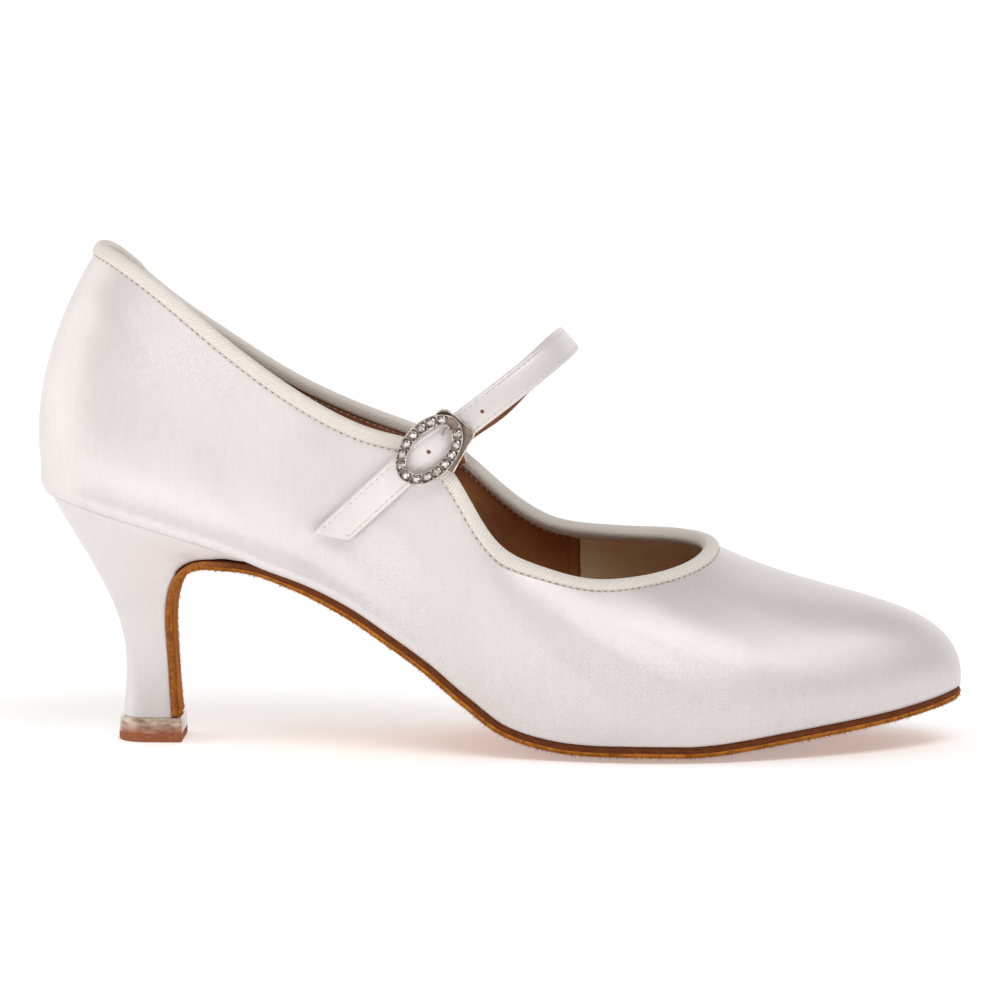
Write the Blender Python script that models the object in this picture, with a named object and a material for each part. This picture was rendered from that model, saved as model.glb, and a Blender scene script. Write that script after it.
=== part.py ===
"""A right ballroom court shoe with an instep strap, built as its maker puts it together.

X runs from heel to toe, Y from the outer to the inner side of the foot, Z up from the floor.
Tables are measured from the back of the heel, in shares of the driving sizes.
"""

import math
from collections import namedtuple

import bmesh
import bpy
import numpy as np

MM = 0.001

# Driving sizes of the last
SHOE_LENGTH = 240 * MM
BALL_HALF_WIDTH = 38.5 * MM
HEEL_RISE = 63 * MM  # sole line at the back of the heel, above the floor
COLLAR_HEIGHT = 64 * MM  # back of the upper, from its lower edge to its top

# Upper, binding and linings
WALL = 1.8 * MM
GAP = 0.3 * MM  # clearance between pieces that meet
BINDING_DEPTH = 2.9 * MM
BINDING_TAPE = 0.7 * MM
HEEL_GRIP_THICKNESS = 1.2 * MM

# Sole and insole
SOLE_THICKNESS = 3.0 * MM
BREAST_SUEDE = 2.0 * MM
SOLE_INSET = 0.6 * MM
SOLE_TIP_ROUND = 4.0 * MM  # where the sole thins away at the toe
EDGE_RISE = 1.4 * MM  # how far the edge of the sole lifts at the ball
INSOLE_THICKNESS = 2.0 * MM
INSOLE_CLEARANCE = 0.4 * MM

# Heel tip
LIFT_THICKNESS = 2.0 * MM
CAP_HEIGHT = 4.0 * MM
CAP_OVERHANG = 0.9 * MM
HEEL_SEAT_INSET = 0.7 * MM
HEEL_FOOT = LIFT_THICKNESS + GAP + CAP_HEIGHT + GAP  # where the heel stands on its tip

# Instep strap and its buckle
STRAP_WIDTH = 7.4 * MM
TAIL_WIDTH = 8.2 * MM
STRAP_THICKNESS = 1.5 * MM
STRAP_LEAN = math.radians(41.2)
TAIL_LEAN = math.radians(42)
STRAP_ARCH = 44.2 * MM  # from the collar to the top of the arch, along the lean
NEAR_ARCH = 0.9  # how round each half of the arch is; less is squarer
FAR_ARCH = 0.68
STRAP_TAIL = 33.7 * MM
TAIL_TAPER = 10 * MM  # past the collar, where the tail narrows to the strap
STRAP_HIDDEN_END = 2.6 * MM
STRAP_EASE = 0.9 * MM  # lets the flat strap clear the curve of the collar
TAIL_SLANT = 6.2 * MM
TAIL_STAND_OFF = 0.9 * MM
BUCKLE_LENGTH = 20.8 * MM
BUCKLE_WIDTH = 13.8 * MM
BUCKLE_BAND = 2.9 * MM
BUCKLE_HEIGHT = 1.0 * MM
BUCKLE_METAL = 0.3 * MM
BUCKLE_TURN = math.radians(11)
BUCKLE_PLACE = 1.0 * MM  # centre of the buckle, up the strap from the collar
BUCKLE_SHIFT = -0.27 * MM  # and how far it lies off the strap's middle, towards the toe
STONE_RADIUS = 1.02 * MM
STONE_HEIGHT = 1.1 * MM
STONE_COUNT = 16  # places round the frame; the one at the prong stays empty
BAIL_WIDTH = 1.1 * MM
BAIL_METAL = 0.7 * MM
PRONG_DIAMETER = 0.8 * MM
PRONG_START = 8.0 * MM  # from the middle of the buckle, along its length
PRONG_LENGTH = 3.4 * MM

# How finely the curved pieces are cut
STEPS_PER_ROW = 3
RISE_STEPS = 11

# The sole line under the middle of the foot: share of the length, share of the heel rise
SolePoint = namedtuple("SolePoint", "along height")
SOLE_LINE = [
    SolePoint(0.000, 1.000),
    SolePoint(0.063, 0.934),
    SolePoint(0.105, 0.887),
    SolePoint(0.188, 0.792),
    SolePoint(0.220, 0.750),
    SolePoint(0.246, 0.708),
    SolePoint(0.288, 0.644),
    SolePoint(0.331, 0.558),
    SolePoint(0.375, 0.444),
    SolePoint(0.417, 0.327),
    SolePoint(0.460, 0.190),
    SolePoint(0.504, 0.072),
    SolePoint(0.542, 0.026),
    SolePoint(0.575, 0.006),
    SolePoint(0.608, 0.000),
    SolePoint(0.700, 0.000),
    SolePoint(0.725, 0.006),
    SolePoint(0.758, 0.022),
    SolePoint(0.800, 0.048),
    SolePoint(0.842, 0.073),
    SolePoint(0.883, 0.097),
    SolePoint(0.925, 0.124),
    SolePoint(0.967, 0.159),
    SolePoint(1.000, 0.194),
]

# One row for each section of the upper, round the foot from the back of the heel. The lower edge
# and the collar are placed by shares of the length, the ball half width and the collar height.
# The foot and top columns are the pull of the section at its ends: a share of its height, and
# the degrees that it leans out from upright.
Section = namedtuple(
    "Section",
    "name edge_x edge_y collar_x collar_y rise foot_pull foot_lean top_pull top_lean",
)
SECTIONS = [
    Section("back", 0.0035, 0.000, 0.065, 0.000, 0.990, 0.31, 15, 0.37, 33),
    Section("outer_back", 0.033, -0.415, 0.081, -0.220, 0.995, 0.31, 15, 0.33, 26),
    Section("outer_heel", 0.092, -0.590, 0.125, -0.390, 0.955, 0.31, 16, 0.33, 18),
    Section("outer_seat", 0.175, -0.625, 0.192, -0.480, 0.845, 0.32, 12, 0.33, 13),
    Section("outer_shank", 0.275, -0.635, 0.275, -0.560, 0.752, 0.33, 9, 0.33, 9),
    Section("outer_waist", 0.375, -0.685, 0.367, -0.650, 0.785, 0.33, 8, 0.33, 9),
    Section("outer_strap", 0.463, -0.780, 0.430, -0.735, 0.955, 0.30, 9, 0.33, 12),
    Section("outer_drop", 0.522, -0.870, 0.460, -0.780, 0.950, 0.27, 10, 0.30, 16),
    Section("outer_joint", 0.583, -0.945, 0.490, -0.795, 0.805, 0.25, 12, 0.30, 24),
    Section("outer_ball", 0.658, -1.000, 0.537, -0.778, 0.695, 0.25, 14, 0.32, 34),
    Section("outer_vamp", 0.742, -0.950, 0.592, -0.700, 0.622, 0.27, 16, 0.34, 45),
    Section("outer_toe", 0.821, -0.805, 0.638, -0.585, 0.575, 0.29, 16, 0.36, 54),
    Section("outer_toe_bend", 0.892, -0.610, 0.669, -0.440, 0.550, 0.31, 14, 0.37, 58),
    Section("outer_toe_tip", 0.946, -0.400, 0.697, -0.295, 0.542, 0.32, 12, 0.37, 61),
    Section("outer_tip", 0.983, -0.190, 0.716, -0.125, 0.543, 0.34, 5, 0.39, 60),
    Section("tip", 0.998, 0.026, 0.7235, 0.052, 0.558, 0.34, 4, 0.39, 60),
    Section("inner_tip", 0.985, 0.245, 0.719, 0.225, 0.586, 0.335, 5, 0.38, 57),
    Section("inner_toe_tip", 0.952, 0.455, 0.703, 0.375, 0.622, 0.32, 12, 0.35, 54),
    Section("inner_toe_bend", 0.900, 0.660, 0.677, 0.500, 0.658, 0.30, 13, 0.36, 53),
    Section("inner_toe", 0.833, 0.855, 0.643, 0.600, 0.690, 0.29, 13, 0.36, 48),
    Section("inner_vamp", 0.763, 0.960, 0.600, 0.680, 0.732, 0.28, 11, 0.34, 38),
    Section("inner_ball", 0.692, 0.975, 0.550, 0.727, 0.785, 0.27, 10, 0.33, 28),
    Section("inner_joint", 0.596, 0.855, 0.492, 0.757, 0.925, 0.27, 10, 0.32, 18),
    Section("inner_strap", 0.508, 0.680, 0.440, 0.745, 1.025, 0.30, 15, 0.33, 12),
    Section("inner_waist", 0.400, 0.545, 0.367, 0.665, 0.845, 0.33, 20, 0.33, 9),
    Section("inner_shank", 0.290, 0.535, 0.275, 0.560, 0.758, 0.33, 16, 0.33, 10),
    Section("inner_seat", 0.179, 0.585, 0.192, 0.480, 0.805, 0.32, 12, 0.33, 13),
    Section("inner_heel", 0.092, 0.575, 0.125, 0.390, 0.895, 0.31, 16, 0.33, 18),
    Section("inner_back", 0.033, 0.405, 0.081, 0.220, 0.985, 0.31, 15, 0.33, 26),
]

# The heel below its seat, top to bottom: where its back and its breast lie, and its half width.
# Shares of the length along X, of the height from the tip's top to the heel rise along Z, and of
# the ball half width along Y.
HeelLevel = namedtuple("HeelLevel", "name back_x back_z breast_x breast_z half_width")
HEEL_LEVELS = [
    HeelLevel("wing", 0.0175, 0.9732, 0.2020, 0.7520, 0.535),
    HeelLevel("flare", 0.0304, 0.8760, 0.1750, 0.7442, 0.440),
    HeelLevel("shoulder", 0.0454, 0.7699, 0.1550, 0.7018, 0.350),
    HeelLevel("upper_neck", 0.0600, 0.6560, 0.1425, 0.6314, 0.272),
    HeelLevel("neck", 0.0733, 0.5420, 0.1363, 0.5387, 0.214),
    HeelLevel("lower_neck", 0.0829, 0.4259, 0.1346, 0.4326, 0.177),
    HeelLevel("waist", 0.0883, 0.3186, 0.1358, 0.3231, 0.158),
    HeelLevel("stem", 0.0892, 0.1935, 0.1375, 0.1991, 0.155),
    HeelLevel("foot", 0.0875, 0.0785, 0.1392, 0.0785, 0.168),
    HeelLevel("tip", 0.0858, 0.000, 0.1408, 0.000, 0.187),
]
SEAT_FRONT = 0.238  # front of the heel seat, share of the length
SOLE_LEAVES_SEAT = 0.262  # where the sole parts from the upper to run down the breast
SHELL_BACK = 0.0104  # back of the heel seat, share of the length

# The bail of the buckle: shares of the buckle's length and width from its middle
BailPoint = namedtuple("BailPoint", "name along across")
BAIL = [
    BailPoint("heel_end", 0.270, -0.275),
    BailPoint("heel_corner", 0.385, -0.325),
    BailPoint("toe_corner", 0.480, 0.355),
    BailPoint("toe_end", -0.043, 0.535),
]

# Where the strap crosses the collar: shares round the upper between two sections
OUTER_STRAP_PLACE = 5.93
INNER_STRAP_PLACE = 22.98


def spline(knots, values, closed=False):
    """A cubic curve through the rows of values; closed needs one more knot than rows."""
    knots, values = np.asarray(knots, float), np.asarray(values, float)
    rows = np.vstack([values, values[:1]]) if closed else values
    step = np.diff(knots)
    slope = np.diff(rows, axis=0) / step[:, None]
    count = len(rows)
    system, right = np.eye(count), np.zeros(rows.shape)
    for i in range(1, count - 1):
        system[i, i - 1 : i + 2] = step[i - 1], 2 * (step[i - 1] + step[i]), step[i]
        right[i] = 6 * (slope[i] - slope[i - 1])
    if closed:
        system[0, :2] = 2 * (step[-1] + step[0]), step[0]
        system[0, -2] = step[-1]
        right[0] = 6 * (slope[0] - slope[-1])
        system[-1, 0] = -1
    bend = np.linalg.solve(system, right)

    def at(place):
        place = np.asarray(place, float)
        if closed:
            place = np.mod(place, knots[-1])
        i = np.clip(np.searchsorted(knots, place, "right") - 1, 0, len(step) - 1)
        h = step[i][..., None]
        b = (place - knots[i])[..., None] / h
        a = 1 - b
        cubic = ((a**3 - a) * bend[i] + (b**3 - b) * bend[i + 1]) * h**2 / 6
        return a * rows[i] + b * rows[i + 1] + cubic

    return at


def monotone(xs, ys):
    """A smooth curve through the points that stays flat between equal heights."""
    xs, ys = np.asarray(xs, float), np.asarray(ys, float)
    step = np.diff(xs)
    slope = np.diff(ys) / step
    pull = np.zeros(len(xs))
    for i in range(1, len(xs) - 1):
        if slope[i - 1] * slope[i] > 0:
            before, after = 2 * step[i] + step[i - 1], step[i] + 2 * step[i - 1]
            pull[i] = (before + after) / (before / slope[i - 1] + after / slope[i])
    pull[0], pull[-1] = slope[0], slope[-1]

    def at(x):
        x = np.asarray(x, float)
        i = np.clip(np.searchsorted(xs, x, "right") - 1, 0, len(step) - 1)
        t = (x - xs[i]) / step[i]
        low = ys[i] * (1 + 2 * t) * (1 - t) ** 2 + step[i] * pull[i] * t * (1 - t) ** 2
        high = ys[i + 1] * t**2 * (3 - 2 * t) + step[i] * pull[i + 1] * t**2 * (t - 1)
        return low + high

    return at


sole_line = monotone(
    [p.along * SHOE_LENGTH for p in SOLE_LINE], [p.height * HEEL_RISE for p in SOLE_LINE]
)


def edge_rise(x):
    """How far the edge of the sole lifts above its middle: most at the ball, none at the ends."""
    share = np.clip((np.asarray(x) / SHOE_LENGTH - 0.25) / 0.75, 0, 1)
    return EDGE_RISE * np.sin(math.pi * share)


def sole_top(x):
    """Height of the top of the sole on the middle line."""
    reach = 0.2 * MM
    slope = (sole_line(x + reach) - sole_line(x - reach)) / (2 * reach)
    return sole_line(x) + SOLE_THICKNESS * np.sqrt(1 + slope**2)


def edge_height(x):
    """Height of the lower edge of the upper."""
    return sole_top(x) + GAP + edge_rise(x)


def unit(vector):
    return vector / np.linalg.norm(vector, axis=-1, keepdims=True)


def section_knots():
    """How far round the shoe each section lies, halfway between its lower edge and the collar."""
    edge = np.array([(s.edge_x * SHOE_LENGTH, s.edge_y * BALL_HALF_WIDTH) for s in SECTIONS])
    collar = np.array([(s.collar_x * SHOE_LENGTH, s.collar_y * BALL_HALF_WIDTH) for s in SECTIONS])
    middle = (edge + collar) / 2
    chords = np.linalg.norm(np.roll(middle, -1, axis=0) - middle, axis=1)
    return np.concatenate([[0], np.cumsum(chords)])


def section_values():
    """The sections' columns at real size; leans in radians."""
    rows = []
    for s in SECTIONS:
        edge_x = s.edge_x * SHOE_LENGTH
        collar_z = float(edge_height(edge_x)) + s.rise * COLLAR_HEIGHT
        rows.append(
            (
                edge_x,
                s.edge_y * BALL_HALF_WIDTH,
                s.collar_x * SHOE_LENGTH,
                s.collar_y * BALL_HALF_WIDTH,
                collar_z,
                s.foot_pull,
                math.radians(s.foot_lean),
                s.top_pull,
                math.radians(s.top_lean),
            )
        )
    return rows


SECTION_KNOTS = section_knots()
section_at = spline(SECTION_KNOTS, section_values(), closed=True)


def round_the_shoe(place):
    """Turns a section number, such as 6.5 for halfway between two, into a distance round."""
    return np.interp(place, np.arange(len(SECTION_KNOTS)), SECTION_KNOTS)


def plan_direction(place, first):
    """Unit direction along the outline whose X is in column first, seen from above."""
    reach = 0.2 * MM
    ahead, behind = section_at(place + reach), section_at(place - reach)
    return unit((ahead - behind)[..., first : first + 2])


def outward(direction):
    """The level vector that points out of the shoe from an outline's direction."""
    return np.stack([direction[..., 1], -direction[..., 0], np.zeros(direction.shape[:-1])], -1)


def upper_point(place, share):
    """A point of the outer face: place round the shoe, share from the lower edge to the collar."""
    place, share = np.broadcast_arrays(np.asarray(place, float), np.asarray(share, float))
    row = section_at(place)
    edge = np.stack([row[..., 0], row[..., 1], edge_height(row[..., 0])], -1)
    collar = row[..., 2:5]
    edge_way, collar_way = plan_direction(place, 0), plan_direction(place, 2)
    along = unit(np.concatenate([edge_way + collar_way, np.zeros(place.shape + (1,))], -1))
    chord = collar - edge
    drift = along * (chord * along).sum(-1, keepdims=True)
    height = np.linalg.norm(chord - drift, axis=-1, keepdims=True)
    up = np.array([0.0, 0.0, 1.0])
    foot_pull, foot_lean, top_pull, top_lean = (row[..., i, None] for i in range(5, 9))
    leave = up * np.cos(foot_lean) + outward(edge_way) * np.sin(foot_lean)
    arrive = -up * np.cos(top_lean) + outward(collar_way) * np.sin(top_lean)
    low = edge + drift / 3 + leave * foot_pull * height
    high = collar - drift / 3 + arrive * top_pull * height
    t = share[..., None]
    return (
        edge * (1 - t) ** 3
        + 3 * low * t * (1 - t) ** 2
        + 3 * high * t**2 * (1 - t)
        + collar * t**3
    )


def upper_normal(place, share):
    """The outward normal of the outer face."""
    reach, step = 0.3 * MM, 0.004
    place, share = np.broadcast_arrays(np.asarray(place, float), np.asarray(share, float))
    round_way = upper_point(place + reach, share) - upper_point(place - reach, share)
    rise_way = upper_point(place, share + step) - upper_point(place, share - step)
    return unit(np.cross(round_way, rise_way))


def upper_face(place, share, lift):
    """A point that stands off the outer face by lift, or inside it where lift is negative."""
    return upper_point(place, share) + upper_normal(place, share) * lift


def section_places():
    """Places round the shoe, STEPS_PER_ROW in each stretch between two sections."""
    numbers = np.arange(len(SECTIONS) * STEPS_PER_ROW) / STEPS_PER_ROW
    return round_the_shoe(numbers)


def outline(inset):
    """Two functions of X: the outer and the inner side of the lower edge, moved in by inset."""
    places = np.linspace(0, SECTION_KNOTS[-1], 600, endpoint=False)
    row = section_at(places)
    points = row[:, :2] - outward(plan_direction(places, 0))[:, :2] * inset
    back, tip = np.argmin(points[:, 0]), np.argmax(points[:, 0])
    outer = np.roll(points, -back, axis=0)[: (tip - back) % len(points) + 1]
    inner = np.roll(points, -tip, axis=0)[: (back - tip) % len(points) + 1][::-1]

    def side(run):
        run = run[np.argsort(run[:, 0])]
        return lambda x: np.interp(x, run[:, 0], run[:, 1])

    return side(outer), side(inner), points[back, 0], points[tip, 0]


def loft(name, rings, material, closed=False):
    """A solid through rings of points: closed joins the last ring to the first, else it is capped."""
    shape = bmesh.new()
    rows = [[shape.verts.new(point) for point in ring] for ring in rings]
    pairs = list(zip(rows, rows[1:] + rows[:1])) if closed else list(zip(rows, rows[1:]))
    for ring, after in pairs:
        for i in range(len(ring)):
            j = (i + 1) % len(ring)
            shape.faces.new((ring[i], ring[j], after[j], after[i]))
    if not closed:
        ladder(shape, rows[0])
        ladder(shape, rows[-1])
    bmesh.ops.recalc_face_normals(shape, faces=shape.faces)
    return finish(name, shape, material)


def ladder(shape, ring):
    """Closes a ring with rungs between its two sides, so that the end stays flat across."""
    left, right = 0, len(ring) - 1
    while right - left > 2:
        shape.faces.new((ring[left], ring[left + 1], ring[right - 1], ring[right]))
        left, right = left + 1, right - 1
    if right - left == 2:
        shape.faces.new((ring[left], ring[left + 1], ring[right]))


def finish(name, shape, material):
    """Turns the bmesh into a named object with its material, shaded smooth up to a crease."""
    mesh = bpy.data.meshes.new(name)
    shape.to_mesh(mesh)
    shape.free()
    mesh.materials.append(material)
    mesh.shade_smooth()
    mesh.set_sharp_from_angle(angle=math.radians(40))
    made = bpy.data.objects.new(name, mesh)
    bpy.context.scene.collection.objects.link(made)
    return made


def material(name, colour, roughness, metallic=0.0):
    made = bpy.data.materials.new(name)
    made.use_nodes = True
    shader = made.node_tree.nodes["Principled BSDF"]
    shader.inputs["Base Color"].default_value = (*colour, 1)
    shader.inputs["Roughness"].default_value = roughness
    shader.inputs["Metallic"].default_value = metallic
    return made


def build_upper(satin):
    """The closed upper: an outer face, a collar rim, an inner face and a lower rim."""
    places = section_places()
    shares = np.linspace(0, 1, RISE_STEPS + 1)
    outer = upper_point(places[:, None], shares[None, :])
    inner = upper_face(places[:, None], shares[None, ::-1], -WALL)
    return loft("upper", np.concatenate([outer, inner], axis=1), satin, closed=True)


def below_collar(place, depth, lift):
    """A point depth under the collar along the wall, or above it where depth is negative."""
    reach = 0.3 * MM
    way = unit(upper_point(place + reach, 1.0) - upper_point(place - reach, 1.0))
    step = upper_point(place, 0.9) - upper_point(place, 1.0)
    step = step - way * (step * way).sum(-1, keepdims=True)
    share = 1 - 0.1 * np.maximum(depth, 0) / np.linalg.norm(step, axis=-1)
    above = -unit(step) * np.maximum(-depth, 0)
    return upper_face(place, share, lift) + above


def build_binding(twill):
    """The tape folded over the collar, clear of the wall by GAP all round."""
    near, far = GAP, -WALL - GAP
    out, back = near + BINDING_TAPE, far - BINDING_TAPE
    middle = (near + far) / 2
    crown = -GAP - BINDING_TAPE
    profile = [
        (BINDING_DEPTH, near),
        (BINDING_DEPTH * 0.7, out),
        (0.0, out),
        (crown * 0.8, (out + middle) / 2),
        (crown * 0.8, (back + middle) / 2),
        (0.0, back),
        (BINDING_DEPTH * 0.8, back),
        (BINDING_DEPTH * 0.85, far),
        (-GAP, far),
        (-GAP, near),
    ]
    places = section_places()
    rings = np.stack([below_collar(places, depth, lift) for depth, lift in profile], axis=1)
    return loft("topline_binding", rings, twill, closed=True)


def build_heel_grip(lining):
    """The soft pad inside the back of the collar."""
    reach_places = np.linspace(-1.9, 2.4, 15)
    depths = np.linspace(BINDING_DEPTH + 0.6 * MM, COLLAR_HEIGHT * 0.45, 6)
    rings = []
    for number in reach_places:
        place = round_the_shoe(number % len(SECTIONS))
        fade = math.sqrt(max(0.0, 1 - ((number - 0.25) / 2.3) ** 2))
        run = depths[0] + (depths - depths[0]) * (0.35 + 0.65 * fade)
        wall_side = -WALL - GAP
        foot_side = wall_side - HEEL_GRIP_THICKNESS * (0.35 + 0.65 * fade)
        down = [below_collar(place, depth, wall_side) for depth in run]
        up = [below_collar(place, depth, foot_side) for depth in run[::-1]]
        rings.append(np.array(down + up))
    return loft("heel_grip", rings, lining)


def across(shares, outer, inner):
    """Y of the points that lie at these shares from the outer to the inner side."""
    middle, half = (outer + inner) / 2, (inner - outer) / 2
    return middle + np.asarray(shares) * half


def lifted(share, rise):
    """The lift of a point of the sole: none over its flat middle, all of it at the edge."""
    flat = 0.6
    return rise * max(0.0, (abs(share) - flat) / (1 - flat))


def toe_spaced(start, end, count):
    """Places from start to end that crowd together towards end."""
    turn = np.linspace(0, math.pi / 2, count)
    return start + (end - start) * np.sin(turn)


def build_insole(leather):
    """The insole board with its sock, a plate that follows the sole inside the upper."""
    inset = WALL + INSOLE_CLEARANCE
    outer, inner, back, tip = outline(inset)
    middle = (back + tip) / 2
    start = toe_spaced(middle, back + 0.4 * MM, 15)[::-1]
    stations = np.concatenate([start, toe_spaced(middle, tip - 0.4 * MM, 19)[1:]])
    rings = []
    for x in stations:
        floor, rise = float(sole_top(x)) + GAP, float(edge_rise(x))
        low = [-1, -0.6, 0.6, 1]
        ring = [(x, across(v, outer(x), inner(x)), floor + lifted(v, rise)) for v in low]
        high = [0.98, 0.6, -0.6, -0.98]
        top = floor + INSOLE_THICKNESS
        ring += [(x, across(v, outer(x), inner(x)), top + lifted(v, rise)) for v in high]
        rings.append(ring)
    return loft("insole", rings, leather)


def heel_level_curve():
    """The heel's columns at real size, smooth from level 0, the wing, down to the tip."""
    foot = HEEL_FOOT
    reach = HEEL_RISE - foot
    scale = (SHOE_LENGTH, reach, SHOE_LENGTH, reach, BALL_HALF_WIDTH)
    rows = [[part * size for part, size in zip(level[1:], scale)] for level in HEEL_LEVELS]
    for row in rows:
        row[1], row[3] = row[1] + foot, row[3] + foot
    return spline(np.arange(len(rows)), rows)


def build_sole(suede):
    """One suede sole from the toe, along the shank and down the breast of the heel."""
    outer, inner, _, tip = outline(SOLE_INSET)
    leaves = SOLE_LEAVES_SEAT * SHOE_LENGTH
    forefoot = toe_spaced(leaves, tip - 0.15 * MM, 40)[::-1]
    path = []
    for x in forefoot:
        thin = max(0.0, 1 - (x - leaves) / (0.06 * SHOE_LENGTH))
        thickness = SOLE_THICKNESS + (BREAST_SUEDE - SOLE_THICKNESS) * 0.5 * thin
        past = min(1.0, max(0.0, 1 - (tip - x) / SOLE_TIP_ROUND))
        thickness *= 0.3 + 0.7 * math.sqrt(1 - past**2)
        path.append((x, float(sole_top(x)), float(outer(x)), float(inner(x)), float(edge_rise(x)), thickness))
    level = heel_level_curve()
    for number in np.linspace(0, len(HEEL_LEVELS) - 1, 24):
        _, _, x, z, half = level(number)
        share = 0.5 + 0.5 * min(1.0, number / 2)
        thickness = SOLE_THICKNESS + (BREAST_SUEDE - SOLE_THICKNESS) * share
        path.append((x, z, -half, half, 0.0, thickness))
    path = np.array(path)
    seat_step = len(forefoot)
    way = unit(np.gradient(path[:, :2], axis=0))
    down = np.stack([-way[:, 1], way[:, 0]], -1)
    rings = []
    for i, (x, z, left, right, rise, thickness) in enumerate(path):
        if i >= seat_step:
            x, z = np.array([x, z]) + down[i] * GAP
        tops, bottoms = [-1, -0.6, 0.6, 1], [0.95, 0.6, -0.6, -0.95]
        ring = [(x, across(v, left, right), z + lifted(v, rise)) for v in tops]
        low_x, low_z = np.array([x, z]) + down[i] * thickness
        ring += [(low_x, across(v, left, right), low_z + lifted(v, rise)) for v in bottoms]
        rings.append(ring)
    return loft("sole", rings, suede)


def heel_width(share):
    """The half width of a heel level from its back, 0, to its breast, 1."""
    rounded = 0.52
    bend = 2.3
    reach = np.clip(share / rounded, 0, 1)
    return (1 - (1 - reach) ** bend) ** (1 / bend) * (1 - 0.07 * np.clip(share - 0.94, 0, 1) / 0.06)


def heel_shares():
    """Places from the back of a heel level to its breast, close together where it is round."""
    turn = np.linspace(0.06, 1, 11)
    return np.append(0.94 * (1 - np.cos(turn * math.pi / 2)) ** 1.3, 1.0)


def heel_ring(back, breast, outer, inner):
    """One level of the heel, from its back along the outer side, across the breast and back."""
    shares = heel_shares()
    spine = [np.array(back) + (np.array(breast) - np.array(back)) * s for s in shares]
    ring = [(back[0], (outer(0) + inner(0)) / 2, back[1])]
    ring += [(p[0], outer(s), p[1]) for p, s in zip(spine, shares)]
    ring += [(p[0], inner(s), p[1]) for p, s in zip(spine[::-1], shares[::-1])]
    return ring


def build_heel(satin):
    """The flared heel: its seat under the upper, its back, and its breast behind the sole."""
    outer_edge, inner_edge, _, _ = outline(HEEL_SEAT_INSET)
    back_x, front_x = SHELL_BACK * SHOE_LENGTH, SEAT_FRONT * SHOE_LENGTH

    def seat_side(edge):
        return lambda share: float(edge(back_x + (front_x - back_x) * share))

    top = []
    for x, y, _ in heel_ring((back_x, 0), (front_x, 0), seat_side(outer_edge), seat_side(inner_edge)):
        top.append((x, y, float(sole_top(x))))
    level = heel_level_curve()
    rings = [top]
    for number in np.linspace(0, len(HEEL_LEVELS) - 1, 19):
        back_at, back_up, breast_at, breast_up, half = level(number)
        rings.append(
            heel_ring(
                (back_at, back_up),
                (breast_at, breast_up),
                lambda share, half=half: -half * float(heel_width(share)),
                lambda share, half=half: half * float(heel_width(share)),
            )
        )
    return loft("heel", rings, satin)


def tip_ring(height, grow):
    """A level outline round the foot of the heel and the sole's end, moved out by grow."""
    tip = HEEL_LEVELS[-1]
    back = tip.back_x * SHOE_LENGTH - grow
    front = tip.breast_x * SHOE_LENGTH + GAP + BREAST_SUEDE + grow * 0.3
    half = tip.half_width * BALL_HALF_WIDTH + grow
    return heel_ring(
        (back, height),
        (front, height),
        lambda share: -half * float(heel_width(share)),
        lambda share: half * float(heel_width(share)),
    )


def build_heel_tip(clear, suede):
    """The clear block that the heel stands on, and the suede piece under it."""
    top = HEEL_FOOT - GAP
    bottom = top - CAP_HEIGHT
    bevel = 0.3 * MM
    rings = [
        tip_ring(top, CAP_OVERHANG - bevel),
        tip_ring(top - bevel, CAP_OVERHANG),
        tip_ring(bottom, CAP_OVERHANG + bevel),
    ]
    loft("heel_cap", rings, clear)
    rings = [
        tip_ring(LIFT_THICKNESS, CAP_OVERHANG + bevel),
        tip_ring(bevel, CAP_OVERHANG + bevel),
        tip_ring(0.0, CAP_OVERHANG),
    ]
    loft("heel_lift", rings, suede)


def wall_samples():
    """Points and normals all over the outer side of the upper, to lay the strap's tail on."""
    places = np.linspace(0, round_the_shoe(15), 260)[:, None]
    shares = np.linspace(0.05, 1, 60)[None, :]
    points = upper_point(places, shares).reshape(-1, 3)
    normals = upper_normal(places, shares).reshape(-1, 3)
    return points, normals


def on_outer_wall(samples, x, z, lift):
    """The point lift off the outer wall that is seen at x, z from the side."""
    points, normals = samples
    i = np.argmin((points[:, 0] - x) ** 2 + (points[:, 2] - z) ** 2)
    point, normal = points[i], normals[i]
    y = point[1] - (normal[0] * (x - point[0]) + normal[2] * (z - point[2])) / normal[1]
    return np.array([x, y, z]) + normal * lift


LEAN_WAY = np.array([math.cos(STRAP_LEAN), 0.0, math.sin(STRAP_LEAN)])
TAIL_WAY = np.array([math.cos(TAIL_LEAN), 0.0, math.sin(TAIL_LEAN)])
# The strap's centre off the wall, over the binding
STRAP_CLEAR = GAP + BINDING_TAPE + GAP + STRAP_EASE + STRAP_THICKNESS / 2


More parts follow.
